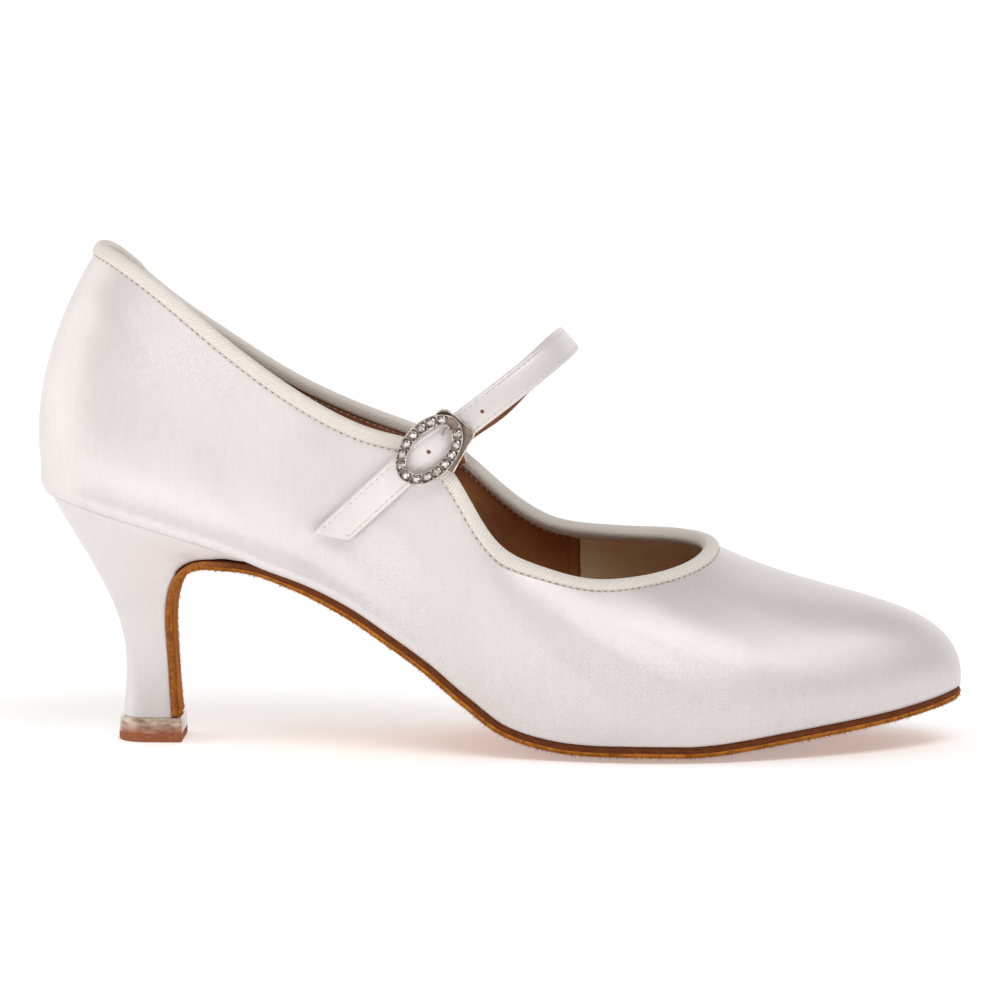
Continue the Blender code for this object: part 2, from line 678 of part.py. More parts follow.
def strap_path():
    """The middle line of the strap, from its tail over the instep to its end inside the collar."""
    outer_place = round_the_shoe(OUTER_STRAP_PLACE)
    inner_place = round_the_shoe(INNER_STRAP_PLACE)
    outer_base = upper_face(outer_place, 1.0, STRAP_CLEAR)
    samples = wall_samples()
    points = []
    for run in np.linspace(STRAP_TAIL, STRAP_TAIL * 0.2, 5):
        x, _, z = outer_base - TAIL_WAY * run
        lift = GAP + STRAP_THICKNESS / 2 + TAIL_STAND_OFF
        points.append(on_outer_wall(samples, x, z, lift))
    inside = -WALL - GAP - BINDING_TAPE - GAP - STRAP_EASE - STRAP_THICKNESS / 2
    inner_base = below_collar(inner_place, -GAP, inside)
    middle = (outer_base + inner_base) / 2
    top = middle + LEAN_WAY * STRAP_ARCH
    for turn in np.linspace(0, math.pi, 15):
        base, arch = (outer_base, NEAR_ARCH) if turn < math.pi / 2 else (inner_base, FAR_ARCH)
        point = base + (top - base) * max(0.0, math.sin(turn)) ** arch
        point[1] = middle[1] + (base[1] - middle[1]) * abs(math.cos(turn))
        points.append(point)
    for depth in (STRAP_HIDDEN_END * 0.5, STRAP_HIDDEN_END):
        points.append(below_collar(inner_place, depth, inside))
    points = np.array(points)
    lengths = np.linalg.norm(np.diff(points, axis=0), axis=1)
    return spline(np.concatenate([[0], np.cumsum(lengths)]), points), lengths.sum()


def band(name, path, length, width, thickness, stuff, count, slant=0.0, side=None):
    """A flat band along a path: its width lies square to the path, in the strap's own plane."""
    if side is None:
        side = np.array([-math.sin(STRAP_LEAN), 0.0, math.cos(STRAP_LEAN)])
    rings = []
    for run in np.linspace(0, length, count):
        step = 0.2 * MM
        way = unit(path(np.array(min(run + step, length))) - path(np.array(max(run - step, 0.0))))
        wide = unit(side - way * (side @ way))
        face = np.cross(way, wide)
        centre = path(np.array(run))
        cut = slant * max(0.0, 1 - run / (3 * slant)) if slant else 0.0
        taper = (STRAP_TAIL + TAIL_TAPER - run) / TAIL_TAPER
        wider = (TAIL_WIDTH - STRAP_WIDTH) * min(1.0, max(0.0, taper)) if slant else 0.0
        corners = [(0.5, 0.25), (0.5, -0.25), (0.44, -0.5), (-0.44, -0.5)]
        corners += [(-0.5, -0.25), (-0.5, 0.25), (-0.44, 0.5), (0.44, 0.5)]
        rings.append(
            [
                centre + wide * w * (width + wider) + face * f * thickness - way * cut * (2 * w)
                for w, f in corners
            ]
        )
    return loft(name, rings, stuff)


def buckle_frame_axes(path):
    """Centre, long, short and outward axes of the buckle, lying on the strap over the collar."""
    run = STRAP_TAIL + BUCKLE_PLACE
    centre = path(np.array(run))
    reach = BUCKLE_LENGTH / 5
    way = unit(path(np.array(run + reach)) - path(np.array(run - reach)))
    side = np.array([-math.sin(STRAP_LEAN), 0.0, math.cos(STRAP_LEAN)])
    wide = unit(side - way * (side @ way))
    out = np.cross(wide, way)
    if out[1] > 0:
        out = -out
    if wide[0] < 0:
        wide = -wide
    centre = centre + wide * BUCKLE_SHIFT
    long_way = way * math.cos(BUCKLE_TURN) - wide * math.sin(BUCKLE_TURN)
    short_way = np.cross(long_way, out)
    if short_way[0] < 0:
        short_way = -short_way
    stand_off = STRAP_THICKNESS / 2 + GAP + BAIL_METAL + GAP
    return centre + out * stand_off, long_way, short_way, out


def oval_point(turn, grow=0.0):
    """A point of the buckle's oval, on the middle of its band or moved out by grow."""
    half_long = (BUCKLE_LENGTH - BUCKLE_BAND) / 2 + grow
    half_short = (BUCKLE_WIDTH - BUCKLE_BAND) / 2 + grow
    return half_long * np.cos(turn), half_short * np.sin(turn)


def even_turns(count):
    """Turns round the oval that leave equal distances between the stones."""
    fine = np.linspace(0, 2 * math.pi, 721)
    x, y = oval_point(fine)
    run = np.concatenate([[0], np.cumsum(np.hypot(np.diff(x), np.diff(y)))])
    return np.interp(np.arange(count) / count * run[-1], run, fine)


def build_buckle(path, metal, glass):
    """The oval frame with its stones, its prong, and the keeper round the strap."""
    centre, long_way, short_way, out = buckle_frame_axes(path)

    def place(u, v, h):
        return centre + long_way * u + short_way * v + out * h

    half = BUCKLE_BAND / 2
    profile = [
        (half, 0),
        (half - 0.05 * MM, BUCKLE_HEIGHT),
        (half - BUCKLE_METAL, BUCKLE_HEIGHT),
        (half - BUCKLE_METAL, BUCKLE_METAL),
        (-half + BUCKLE_METAL, BUCKLE_METAL),
        (-half + BUCKLE_METAL, BUCKLE_HEIGHT),
        (-half + 0.05 * MM, BUCKLE_HEIGHT),
        (-half, 0),
    ]
    rings = []
    for turn in np.linspace(0, 2 * math.pi, 36, endpoint=False):
        rings.append([place(*oval_point(turn, grow), height) for grow, height in profile])
    loft("buckle_frame", rings, metal, closed=True)

    seat = BUCKLE_METAL + 0.1 * MM
    cut = [(0.6, 0.0), (1.0, 0.35), (1.0, 0.5), (0.55, 1.0)]
    for number, turn in enumerate(even_turns(STONE_COUNT)):
        if number == 0:
            continue
        u, v = oval_point(turn)
        rings = []
        for width, rise in cut:
            corners = np.arange(8) * math.pi / 4 + turn
            rings.append(
                [
                    place(
                        u + STONE_RADIUS * width * math.cos(a),
                        v + STONE_RADIUS * width * math.sin(a),
                        seat + STONE_HEIGHT * rise,
                    )
                    for a in corners
                ]
            )
        loft(f"stone_{number:02d}", rings, glass)

    build_bail(metal, place)
    rod = PRONG_DIAMETER / 2
    strap_face = -GAP - BAIL_METAL
    prong_line = [
        (PRONG_START, -GAP - rod),
        (PRONG_START - PRONG_LENGTH * 0.5, -GAP - rod),
        (PRONG_START - PRONG_LENGTH, strap_face + rod),
    ]
    rings = []
    for u, h in prong_line:
        turns = np.arange(8) * math.pi / 4
        rings.append([place(u, rod * math.cos(a), h + rod * math.sin(a)) for a in turns])
    loft("buckle_prong", rings, metal)


def build_bail(metal, place):
    """The flat bail under the top of the frame, that the strap runs below."""
    points = np.array([(b.along * BUCKLE_LENGTH, b.across * BUCKLE_WIDTH) for b in BAIL])
    ways = unit(np.diff(points, axis=0))
    rings = []
    for i, point in enumerate(points):
        before, after = ways[max(i - 1, 0)], ways[min(i, len(ways) - 1)]
        middle = unit(before + after)
        square = np.array([-middle[1], middle[0]]) / (middle @ after)
        ring = []
        for out, low in ((0.5, 0), (0.5, 1), (-0.5, 1), (-0.5, 0)):
            u, v = point + square * BAIL_WIDTH * out
            ring.append(place(u, v, -GAP - BAIL_METAL * low))
        rings.append(ring)
    loft("buckle_bail", rings, metal)


def stand_on_origin():
    """Moves the whole shoe so that the middle of its box stands on the origin."""
    made = [obj for obj in bpy.data.objects if obj.type == "MESH"]
    corners = np.array([v.co[:] for obj in made for v in obj.data.vertices])
    low, high = corners.min(axis=0), corners.max(axis=0)
    for obj in made:
        for vertex in obj.data.vertices:
            vertex.co.x -= (low[0] + high[0]) / 2
            vertex.co.y -= (low[1] + high[1]) / 2
            vertex.co.z -= low[2]


def main():
    for obj in list(bpy.data.objects):
        bpy.data.objects.remove(obj)
    satin = material("satin", (0.86, 0.83, 0.82), 0.38)
    twill = material("binding", (0.86, 0.82, 0.74), 0.6)
    lining = material("lining", (0.85, 0.78, 0.72), 0.7)
    leather = material("leather", (0.30, 0.13, 0.05), 0.55)
    suede = material("suede", (0.36, 0.15, 0.04), 0.95)
    clear = material("clear_plastic", (0.85, 0.75, 0.62), 0.1)
    silver = material("silver", (0.62, 0.60, 0.57), 0.3, 1.0)
    glass = material("stone_glass", (0.85, 0.87, 0.9), 0.05)

    build_upper(satin)
    build_binding(twill)
    build_heel_grip(lining)
    build_insole(leather)
    build_sole(suede)
    build_heel(satin)
    build_heel_tip(clear, suede)
    path, length = strap_path()
    band("strap", path, length, STRAP_WIDTH, STRAP_THICKNESS, satin, 44, TAIL_SLANT / 2)
    build_buckle(path, silver, glass)
    stand_on_origin()


main()
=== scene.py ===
"""A right ballroom court shoe of white satin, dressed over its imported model.

X runs from heel to toe, Y from the outer to the inner side of the foot, Z up from the floor.
"""

import math
from contextlib import contextmanager

import bmesh
import bpy
import numpy as np
from mathutils import Matrix, Vector


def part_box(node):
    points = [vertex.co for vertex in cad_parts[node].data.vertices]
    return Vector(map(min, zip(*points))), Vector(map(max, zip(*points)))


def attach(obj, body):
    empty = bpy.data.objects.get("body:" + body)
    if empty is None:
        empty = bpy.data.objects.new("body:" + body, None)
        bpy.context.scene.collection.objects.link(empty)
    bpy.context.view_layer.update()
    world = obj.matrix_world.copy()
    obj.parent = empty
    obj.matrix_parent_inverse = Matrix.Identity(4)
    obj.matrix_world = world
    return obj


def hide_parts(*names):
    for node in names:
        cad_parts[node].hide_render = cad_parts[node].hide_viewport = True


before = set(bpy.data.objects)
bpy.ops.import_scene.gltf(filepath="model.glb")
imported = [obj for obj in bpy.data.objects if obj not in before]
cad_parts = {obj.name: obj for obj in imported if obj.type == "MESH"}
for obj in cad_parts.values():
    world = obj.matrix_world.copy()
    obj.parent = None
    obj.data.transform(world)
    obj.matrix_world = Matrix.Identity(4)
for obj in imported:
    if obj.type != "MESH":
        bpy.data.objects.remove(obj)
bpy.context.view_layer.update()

MM = 0.001
MERGE = 0.01 * MM  # points closer than this are one
PROBE = 0.2  # half the step that slopes and ways are read over, in mm
LAST_SHIFT = np.array([-119.3342, 0.5163, 0.0])  # from the back of the heel to the origin, in mm

# The last, in millimetres from the back of the heel. One row for each section round the foot:
# lower edge x y, collar x y z, then pull and lean at the foot and at the top.
SECTIONS = [
    (0.84, 0.00, 15.60, 0.00, 129.54, 0.31, 15, 0.37, 33),  # back
    (7.92, -15.98, 19.44, -8.47, 127.93, 0.31, 15, 0.33, 26),  # outer back
    (22.08, -22.71, 30.00, -15.02, 121.36, 0.31, 16, 0.33, 18),  # outer heel
    (42.00, -24.06, 46.08, -18.48, 108.41, 0.32, 12, 0.33, 13),  # outer seat
    (66.00, -24.45, 66.00, -21.56, 93.70, 0.33, 9, 0.33, 9),  # outer shank
    (90.00, -26.37, 88.08, -25.03, 82.88, 0.33, 8, 0.33, 9),  # outer waist
    (111.12, -30.03, 103.20, -28.30, 77.73, 0.3, 9, 0.33, 12),  # outer strap
    (125.28, -33.49, 110.40, -30.03, 68.43, 0.27, 10, 0.3, 16),  # outer drop
    (139.92, -36.38, 117.60, -30.61, 56.45, 0.25, 12, 0.3, 24),  # outer joint
    (157.92, -38.50, 128.88, -29.95, 49.17, 0.25, 14, 0.32, 34),  # outer ball
    (178.08, -36.57, 142.08, -26.95, 45.21, 0.27, 16, 0.34, 45),  # outer vamp
    (197.04, -30.99, 153.12, -22.52, 44.91, 0.29, 16, 0.36, 54),  # outer toe
    (214.08, -23.48, 160.56, -16.94, 45.61, 0.31, 14, 0.37, 58),  # outer toe bend
    (227.04, -15.40, 167.28, -11.36, 47.22, 0.32, 12, 0.37, 61),  # outer toe tip
    (235.92, -7.32, 171.84, -4.81, 49.33, 0.34, 5, 0.39, 60),  # outer tip
    (239.52, 1.00, 173.64, 2.00, 51.23, 0.34, 4, 0.39, 60),  # tip
    (236.40, 9.43, 172.56, 8.66, 52.20, 0.335, 5, 0.38, 57),  # inner tip
    (228.48, 17.52, 168.72, 14.44, 52.63, 0.32, 12, 0.35, 54),  # inner toe tip
    (216.00, 25.41, 162.48, 19.25, 52.79, 0.3, 13, 0.36, 53),  # inner toe bend
    (199.92, 32.92, 154.32, 23.10, 52.66, 0.29, 13, 0.36, 48),  # inner toe
    (183.12, 36.96, 144.00, 26.18, 52.92, 0.28, 11, 0.34, 38),  # inner vamp
    (166.08, 37.54, 132.00, 27.99, 54.89, 0.27, 10, 0.33, 28),  # inner ball
    (143.04, 32.92, 118.08, 29.14, 63.96, 0.27, 10, 0.32, 18),  # inner joint
    (121.92, 26.18, 105.60, 28.68, 74.51, 0.3, 15, 0.33, 12),  # inner strap
    (96.00, 20.98, 88.08, 25.60, 82.60, 0.33, 20, 0.33, 9),  # inner waist
    (69.60, 20.60, 66.00, 21.56, 92.70, 0.33, 16, 0.33, 10),  # inner shank
    (42.96, 22.52, 46.08, 18.48, 105.55, 0.32, 12, 0.33, 13),  # inner seat
    (22.08, 22.14, 30.00, 15.02, 117.52, 0.31, 16, 0.33, 18),  # inner heel
    (7.92, 15.59, 19.44, 8.47, 127.29, 0.31, 15, 0.33, 26),  # inner back
]
SOLE_LINE = [
    (0, 63), (15.12, 58.84), (25.2, 55.88), (45.12, 49.9), (52.8, 47.25), (59.04, 44.6),
    (69.12, 40.57), (79.44, 35.15), (90, 27.97), (100.08, 20.6), (110.4, 11.97), (120.96, 4.54),
    (130.08, 1.64), (138, 0.38), (145.92, 0), (168, 0), (174, 0.38), (181.92, 1.39), (192, 3.02),
    (202.08, 4.6), (211.92, 6.11), (222, 7.81), (232.08, 10.02), (240, 12.22),
]
SHOE_LENGTH = 240
SOLE_THICKNESS = 3.0
GAP = 0.3
WALL = 1.8
WALL_HEIGHT = 46  # of the upper, on average
TIP_REACH = 0.26  # closes the gaps over and under the clear cap
SOCK_REACH = 0.7  # closes the gap beside the insole board
DULL = 0.15  # specular level of what hardly shines

# Sewing, in mm: a stitch's length, width and depth, those of the dark lens of painted shadow in the needle's
# hollow, and the pitch
TOPLINE_STITCH = ((1.1, 0.34, 0.3), (0.75, 0.55, 0.3), 1.87)
LINING_STITCH = ((1.0, 0.28, 0.2), (0.5, 0.3, 0.2), 1.87)
STRAP_STITCH = ((1.05, 0.3, 0.26), (0.66, 0.46, 0.3), 1.8)
TAIL_STITCH = ((0.95, 0.3, 0.26), (0.6, 0.4, 0.3), 1.6)

# Middle line of the strap, in millimetres in the model's frame, from its tail over the instep
STRAP_LENGTH = 154.225
STRAP_HALF = 3.7  # half its width
STRAP_LINE = [
    (-42.57, -27.5, 56.51), (-37.86, -27.86, 60.87), (-33.14, -28.22, 65.22), (-28.43, -28.68, 69.56),
    (-23.73, -29.05, 73.93), (-18.82, -30.13, 77.94), (-13.72, -30.53, 81.77), (-8.57, -29.78, 85.62),
    (-3.5, -28.58, 89.41), (1.42, -26.75, 93.09), (6.1, -24.05, 96.59), (10.37, -20.46, 99.78),
    (13.98, -15.87, 102.48), (16.57, -10.31, 104.41), (17.69, -4.05, 105.26), (17.34, 2.36, 104.88),
    (15.82, 8.4, 103.33), (13.25, 13.69, 100.73), (9.86, 17.91, 97.26), (5.83, 20.93, 93.24),
    (1.78, 22.95, 88.8), (-2.97, 23.97, 84.37), (-9.05, 24.02, 80.24), (-13.34, 24.2, 75.59),
    (-12.73, 25.43, 69.73),
]
STRAP_SIDE = np.array([-0.65869, 0.0, 0.75241])
STRAP_HOLES = (50.66, 42.24, 33.91)  # from the tail's end

# The buckle's middle, its long, short and outward directions, and half the oval of its stones
BUCKLE_AT = np.array([-17.083, -32.526, 79.571])
BUCKLE_LONG = np.array([0.665742, -0.082038, 0.741659])
BUCKLE_SHORT = np.array([0.743588, -0.009876, -0.668566])
BUCKLE_OUT = np.array([-0.062172, -0.99658, -0.054428])
BUCKLE_OVAL = (8.95, 5.45)

# Where the leather lining ends and the cotton one begins, along X
LINING_SEAM = 18.63

# Soft ridges and troughs of the satin. Each runs from a section number and a share of the
# height to another, then its width and its lift in mm.
CREASES = [
    (0.7, 0.79, 2.1, 0.76, 3.4, 0.54),  # top edge of the heel stiffener, outer side
    (28.3, 0.79, 26.9, 0.76, 3.4, 0.54),
    (2.5, 0.62, 3.3, 0.10, 5.0, 0.40),  # its front edge
    (26.5, 0.62, 25.7, 0.10, 5.0, 0.40),
    (3.4, 0.30, 4.6, 0.12, 4.5, -0.41),  # pulls over the shank
    (4.2, 0.45, 5.6, 0.22, 5.0, -0.35),
    (4.6, 0.62, 5.9, 0.42, 4.0, 0.30),
    (5.3, 0.18, 6.8, 0.10, 4.0, 0.34),
    (25.3, 0.30, 24.4, 0.12, 4.5, -0.54),
    (24.6, 0.45, 23.4, 0.22, 5.0, -0.47),
    (7.2, 0.55, 8.6, 0.30, 4.0, -0.20),  # flexing at the joint
    (8.3, 0.62, 9.5, 0.26, 4.0, -0.28),
    (8.9, 0.70, 10.1, 0.34, 3.4, 0.22),
    (9.4, 0.80, 10.5, 0.44, 3.2, -0.18),
    (22.2, 0.60, 21.0, 0.26, 4.0, -0.28),
    (21.6, 0.70, 20.4, 0.36, 3.4, 0.22),
    (10.6, 0.26, 11.6, 0.62, 4.2, 0.43),  # back edge of the toe puff
    (11.6, 0.62, 12.6, 0.86, 4.2, 0.36),
    (19.5, 0.26, 18.6, 0.62, 4.2, 0.43),
    (12.4, 0.30, 14.2, 0.26, 4.6, -0.29),  # tightness over the toe's side
]

# The breast of the heel from its wing down to its foot: X, height and half width
HEEL_BREAST = [
    (48.48, 49.01, 20.60), (42.00, 48.57, 16.94), (37.20, 46.18, 13.47), (34.20, 42.21, 10.47),
    (32.71, 36.98, 8.24), (32.30, 31.00, 6.81), (32.59, 24.82, 6.08), (33.00, 17.83, 5.97),
    (33.41, 11.03, 6.47), (33.79, 6.60, 7.20),
]


def spline(knots, values, closed=False):
    """A cubic curve through the rows of values; closed needs one more knot than rows."""
    knots, values = np.asarray(knots, float), np.asarray(values, float)
    rows = np.vstack([values, values[:1]]) if closed else values
    step = np.diff(knots)
    slope = np.diff(rows, axis=0) / step[:, None]
    count = len(rows)
    system, right = np.eye(count), np.zeros(rows.shape)
    for i in range(1, count - 1):
        system[i, i - 1 : i + 2] = step[i - 1], 2 * (step[i - 1] + step[i]), step[i]
        right[i] = 6 * (slope[i] - slope[i - 1])
    if closed:
        system[0, :2] = 2 * (step[-1] + step[0]), step[0]
        system[0, -2] = step[-1]
        right[0] = 6 * (slope[0] - slope[-1])
        system[-1, 0] = -1
    bend = np.linalg.solve(system, right)

    def at(place):
        place = np.asarray(place, float)
        if closed:
            place = np.mod(place, knots[-1])
        i = np.clip(np.searchsorted(knots, place, "right") - 1, 0, len(step) - 1)
        h = step[i][..., None]
        b = (place - knots[i])[..., None] / h
        a = 1 - b
        cubic = ((a**3 - a) * bend[i] + (b**3 - b) * bend[i + 1]) * h**2 / 6
        return a * rows[i] + b * rows[i + 1] + cubic

    return at


def sole_height():
    """Height of the sole line along X, level where two heights are the same."""
    xs, ys = np.array(SOLE_LINE, float).T
    step = np.diff(xs)
    slope = np.diff(ys) / step
    pull = np.zeros(len(xs))
    for i in range(1, len(xs) - 1):
        if slope[i - 1] * slope[i] > 0:
            before, after = 2 * step[i] + step[i - 1], step[i] + 2 * step[i - 1]
            pull[i] = (before + after) / (before / slope[i - 1] + after / slope[i])
    pull[0], pull[-1] = slope[0], slope[-1]

    def at(x):
        x = np.asarray(x, float)
        i = np.clip(np.searchsorted(xs, x, "right") - 1, 0, len(step) - 1)
        t = (x - xs[i]) / step[i]
        low = ys[i] * (1 + 2 * t) * (1 - t) ** 2 + step[i] * pull[i] * t * (1 - t) ** 2
        high = ys[i + 1] * t**2 * (3 - 2 * t) + step[i] * pull[i + 1] * t**2 * (t - 1)
        return low + high

    return at


sole_line = sole_height()


def sole_top(x):
    """Height of the sole's upper face, which lies square to its lower one."""
    slope = (sole_line(x + PROBE) - sole_line(x - PROBE)) / (2 * PROBE)
    return sole_line(x) + SOLE_THICKNESS * np.sqrt(1 + slope**2)


def edge_height(x):
    """Height of the lower edge of the upper, which rises a little towards the toe."""
    share = np.clip((np.asarray(x) / SHOE_LENGTH - 0.25) / 0.75, 0, 1)
    return sole_top(x) + GAP + 1.4 * np.sin(math.pi * share)


def unit(vector):
    """The same way, one long."""
    return vector / np.linalg.norm(vector, axis=-1, keepdims=True)


section_rows = np.array(SECTIONS, float)
section_rows[:, [6, 8]] = np.radians(section_rows[:, [6, 8]])
section_middle = (section_rows[:, :2] + section_rows[:, 2:4]) / 2
section_chords = np.linalg.norm(np.roll(section_middle, -1, axis=0) - section_middle, axis=1)
SECTION_KNOTS = np.concatenate([[0], np.cumsum(section_chords)])
ROUND = SECTION_KNOTS[-1]
section_at = spline(SECTION_KNOTS, section_rows, closed=True)


def round_the_shoe(number):
    """Turns a section number, such as 6.5 for halfway between two, into a distance round."""
    return np.interp(number, np.arange(len(SECTION_KNOTS)), SECTION_KNOTS)


def section_number(place):
    """Turns a distance round the shoe into a section number."""
    return np.interp(place, SECTION_KNOTS, np.arange(len(SECTION_KNOTS)))


def plan_way(place, first):
    """The way round, seen from above, of the outline whose X is in column first."""
    return unit((section_at(place + PROBE) - section_at(place - PROBE))[..., first : first + 2])


def outward(way):
    """The level direction that points out of the shoe from a way round it."""
    return np.stack([way[..., 1], -way[..., 0], np.zeros(way.shape[:-1])], -1)


def on_last(place, share):
    """A point of the upper: place round the shoe, share from the lower edge to the collar."""
    place, share = np.broadcast_arrays(np.asarray(place, float), np.asarray(share, float))
    row = section_at(place)
    edge = np.stack([row[..., 0], row[..., 1], edge_height(row[..., 0])], -1)
    collar = row[..., 2:5]
    edge_way, collar_way = plan_way(place, 0), plan_way(place, 2)
    along = unit(np.concatenate([edge_way + collar_way, np.zeros(place.shape + (1,))], -1))
    chord = collar - edge
    drift = along * (chord * along).sum(-1, keepdims=True)
    height = np.linalg.norm(chord - drift, axis=-1, keepdims=True)
    up = np.array([0.0, 0.0, 1.0])
    foot_pull, foot_lean, top_pull, top_lean = (row[..., i, None] for i in range(5, 9))
    leave = up * np.cos(foot_lean) + outward(edge_way) * np.sin(foot_lean)
    arrive = -up * np.cos(top_lean) + outward(collar_way) * np.sin(top_lean)
    low = edge + drift / 3 + leave * foot_pull * height
    high = collar - drift / 3 + arrive * top_pull * height
    t = share[..., None]
    return (
        edge * (1 - t) ** 3 + 3 * low * t * (1 - t) ** 2 + 3 * high * t**2 * (1 - t) + collar * t**3
    )


def last_normal(place, share):
    """The way straight out of the last."""
    place, share = np.broadcast_arrays(np.asarray(place, float), np.asarray(share, float))
    round_way = on_last(place + 0.3, share) - on_last(place - 0.3, share)
    rise_way = on_last(place, share + 0.004) - on_last(place, share - 0.004)
    return unit(np.cross(round_way, rise_way))


def off_last(place, share, lift):
    """A point of the upper, moved out of the last by lift."""
    return on_last(place, share) + last_normal(place, share) * np.asarray(lift)[..., None]


def below_collar(place, depth, lift):
    """A point depth under the collar along the wall, or above it where depth is negative."""
    place, depth = np.broadcast_arrays(np.asarray(place, float), np.asarray(depth, float))
    way = unit(on_last(place + 0.3, 1.0) - on_last(place - 0.3, 1.0))
    step = on_last(place, 0.9) - on_last(place, 1.0)
    step = step - way * (step * way).sum(-1, keepdims=True)
    share = 1 - 0.1 * np.maximum(depth, 0) / np.linalg.norm(step, axis=-1)
    above = -unit(step) * np.maximum(-depth, 0)[..., None]
    return off_last(place, share, lift) + above


def in_frame(points):
    """Millimetres from the back of the heel, turned into metres in the model's frame."""
    return (np.asarray(points) + LAST_SHIFT) * MM


def nothing_selected():
    """Object mode, with nothing selected."""
    if bpy.context.object and bpy.context.object.mode != "OBJECT":
        bpy.ops.object.mode_set(mode="OBJECT")
    bpy.ops.object.select_all(action="DESELECT")


def only(piece):
    """Makes one piece the selected and active one."""
    nothing_selected()
    piece.select_set(True)
    bpy.context.view_layer.objects.active = piece


@contextmanager
def editing(piece, action="SELECT", faces=()):
    """Edit mode on one piece, with all of it selected, or nothing, or the faces of some numbers."""
    only(piece)
    bpy.ops.object.mode_set(mode="EDIT")
    bpy.ops.mesh.select_all(action=action)
    if faces:
        bpy.ops.object.mode_set(mode="OBJECT")
        for number in faces:
            piece.data.polygons[number].select = True
        bpy.ops.object.mode_set(mode="EDIT")
    yield
    bpy.ops.object.mode_set(mode="OBJECT")


def placed(name, data):
    """A new object in the scene that holds a mesh, a lamp or a camera."""
    piece = bpy.data.objects.new(name, data)
    bpy.context.scene.collection.objects.link(piece)
    return piece


def laid_grid(name, points, closed_round=False, closed_across=False):
    """A grid laid on rows of points, its seams sewn where it closes, with a map in metres."""
    if closed_round:
        points = np.concatenate([points, points[:1]])
    if closed_across:
        points = np.concatenate([points, points[:, :1]], axis=1)
    rows, steps = points.shape[:2]
    nothing_selected()
    bpy.ops.mesh.primitive_grid_add(x_subdivisions=steps - 1, y_subdivisions=rows - 1)
    piece = bpy.context.object
    piece.name = piece.data.name = name
    mesh = piece.data
    mesh.vertices.foreach_set("co", points.reshape(-1))
    run = np.linalg.norm(np.diff(points, axis=0), axis=-1).mean(axis=1)
    reach = np.linalg.norm(np.diff(points, axis=1), axis=-1).mean(axis=0)
    run, reach = np.concatenate([[0], np.cumsum(run)]), np.concatenate([[0], np.cumsum(reach)])
    corner = np.empty(len(mesh.loops), int)
    mesh.loops.foreach_get("vertex_index", corner)
    places = np.stack([run[corner // steps], reach[corner % steps]], -1)
    mesh.uv_layers.active.data.foreach_set("uv", places.reshape(-1))
    band = mesh.attributes.new("band", "INT", "FACE")
    band.data.foreach_set("value", np.arange(len(mesh.polygons)) % (steps - 1))
    with editing(piece):
        if closed_round or closed_across:
            bpy.ops.mesh.remove_doubles(threshold=MERGE)
        bpy.ops.mesh.normals_make_consistent(inside=False)
    bpy.ops.object.shade_smooth()
    return piece


def banded(piece, bands):
    """Gives each face the material that the bands name for its step across the grid."""
    mesh = piece.data
    band = np.empty(len(mesh.polygons), int)
    mesh.attributes["band"].data.foreach_get("value", band)
    for face, step in zip(mesh.polygons, band):
        face.material_index = bands[step] if len(face.vertices) == 4 else 0
    mesh.attributes.remove(mesh.attributes["band"])


def closed_ends(piece):
    """Fills the open ends of a tube."""
    with editing(piece, "DESELECT"):
        bpy.ops.mesh.select_mode(type="EDGE")
        bpy.ops.mesh.select_non_manifold()
        bpy.ops.mesh.edge_face_add()
        bpy.ops.mesh.select_all(action="SELECT")
        bpy.ops.mesh.normals_make_consistent(inside=False)
    return piece


def worked_copy(node, name):
    """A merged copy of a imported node, in quads, ready to be finished."""
    piece = placed(name, bpy.data.objects[node].data.copy())
    with editing(piece):
        bpy.ops.mesh.remove_doubles(threshold=MERGE)
        bpy.ops.mesh.tris_convert_to_quads(face_threshold=0.9, shape_threshold=0.9)
    return piece


def modified(piece, kind, **settings):
    """Adds one modifier and applies it."""
    only(piece)
    step = piece.modifiers.new(kind.title(), kind)
    for name, value in settings.items():
        setattr(step, name, value)
    bpy.ops.object.modifier_apply(modifier=step.name)


def softened(piece, width, segments, angle, rounds=0):
    """Rounds off the edges sharper than an angle in degrees, and shades the piece smooth."""
    modified(
        piece, "BEVEL", width=width * MM, segments=segments, limit_method="ANGLE", angle_limit=math.radians(angle)
    )
    if rounds:
        modified(piece, "SUBSURF", levels=rounds, render_levels=rounds)
    piece.data.shade_smooth()


def reaching(piece, way):
    """Moves the lowest points of a piece down (way -1), or its highest up (way 1), to meet the cap."""
    end = max(vertex.co.z * way for vertex in piece.data.vertices)
    for vertex in piece.data.vertices:
        if vertex.co.z * way > end - 0.2 * MM:
            vertex.co.z += way * TIP_REACH * MM


def dressed(piece, slot, *materials, instead=()):
    """Gives a piece its materials and hides the imported nodes that it stands for; slot is not used."""
    piece.data.materials.clear()
    for stuff in materials:
        piece.data.materials.append(stuff)
    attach(piece, "root")
    if instead:
        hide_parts(*instead)


def fed(tree, socket, value):
    """Gives a socket a link, a colour or a number."""
    if isinstance(value, bpy.types.NodeSocket):
        tree.links.new(value, socket)
    else:
        socket.default_value = (*value, 1) if isinstance(value, tuple) else value


def new_material(name):
    """An empty material and its node tree."""
    made = bpy.data.materials.new(name)
    made.use_nodes = True
    return made, made.node_tree


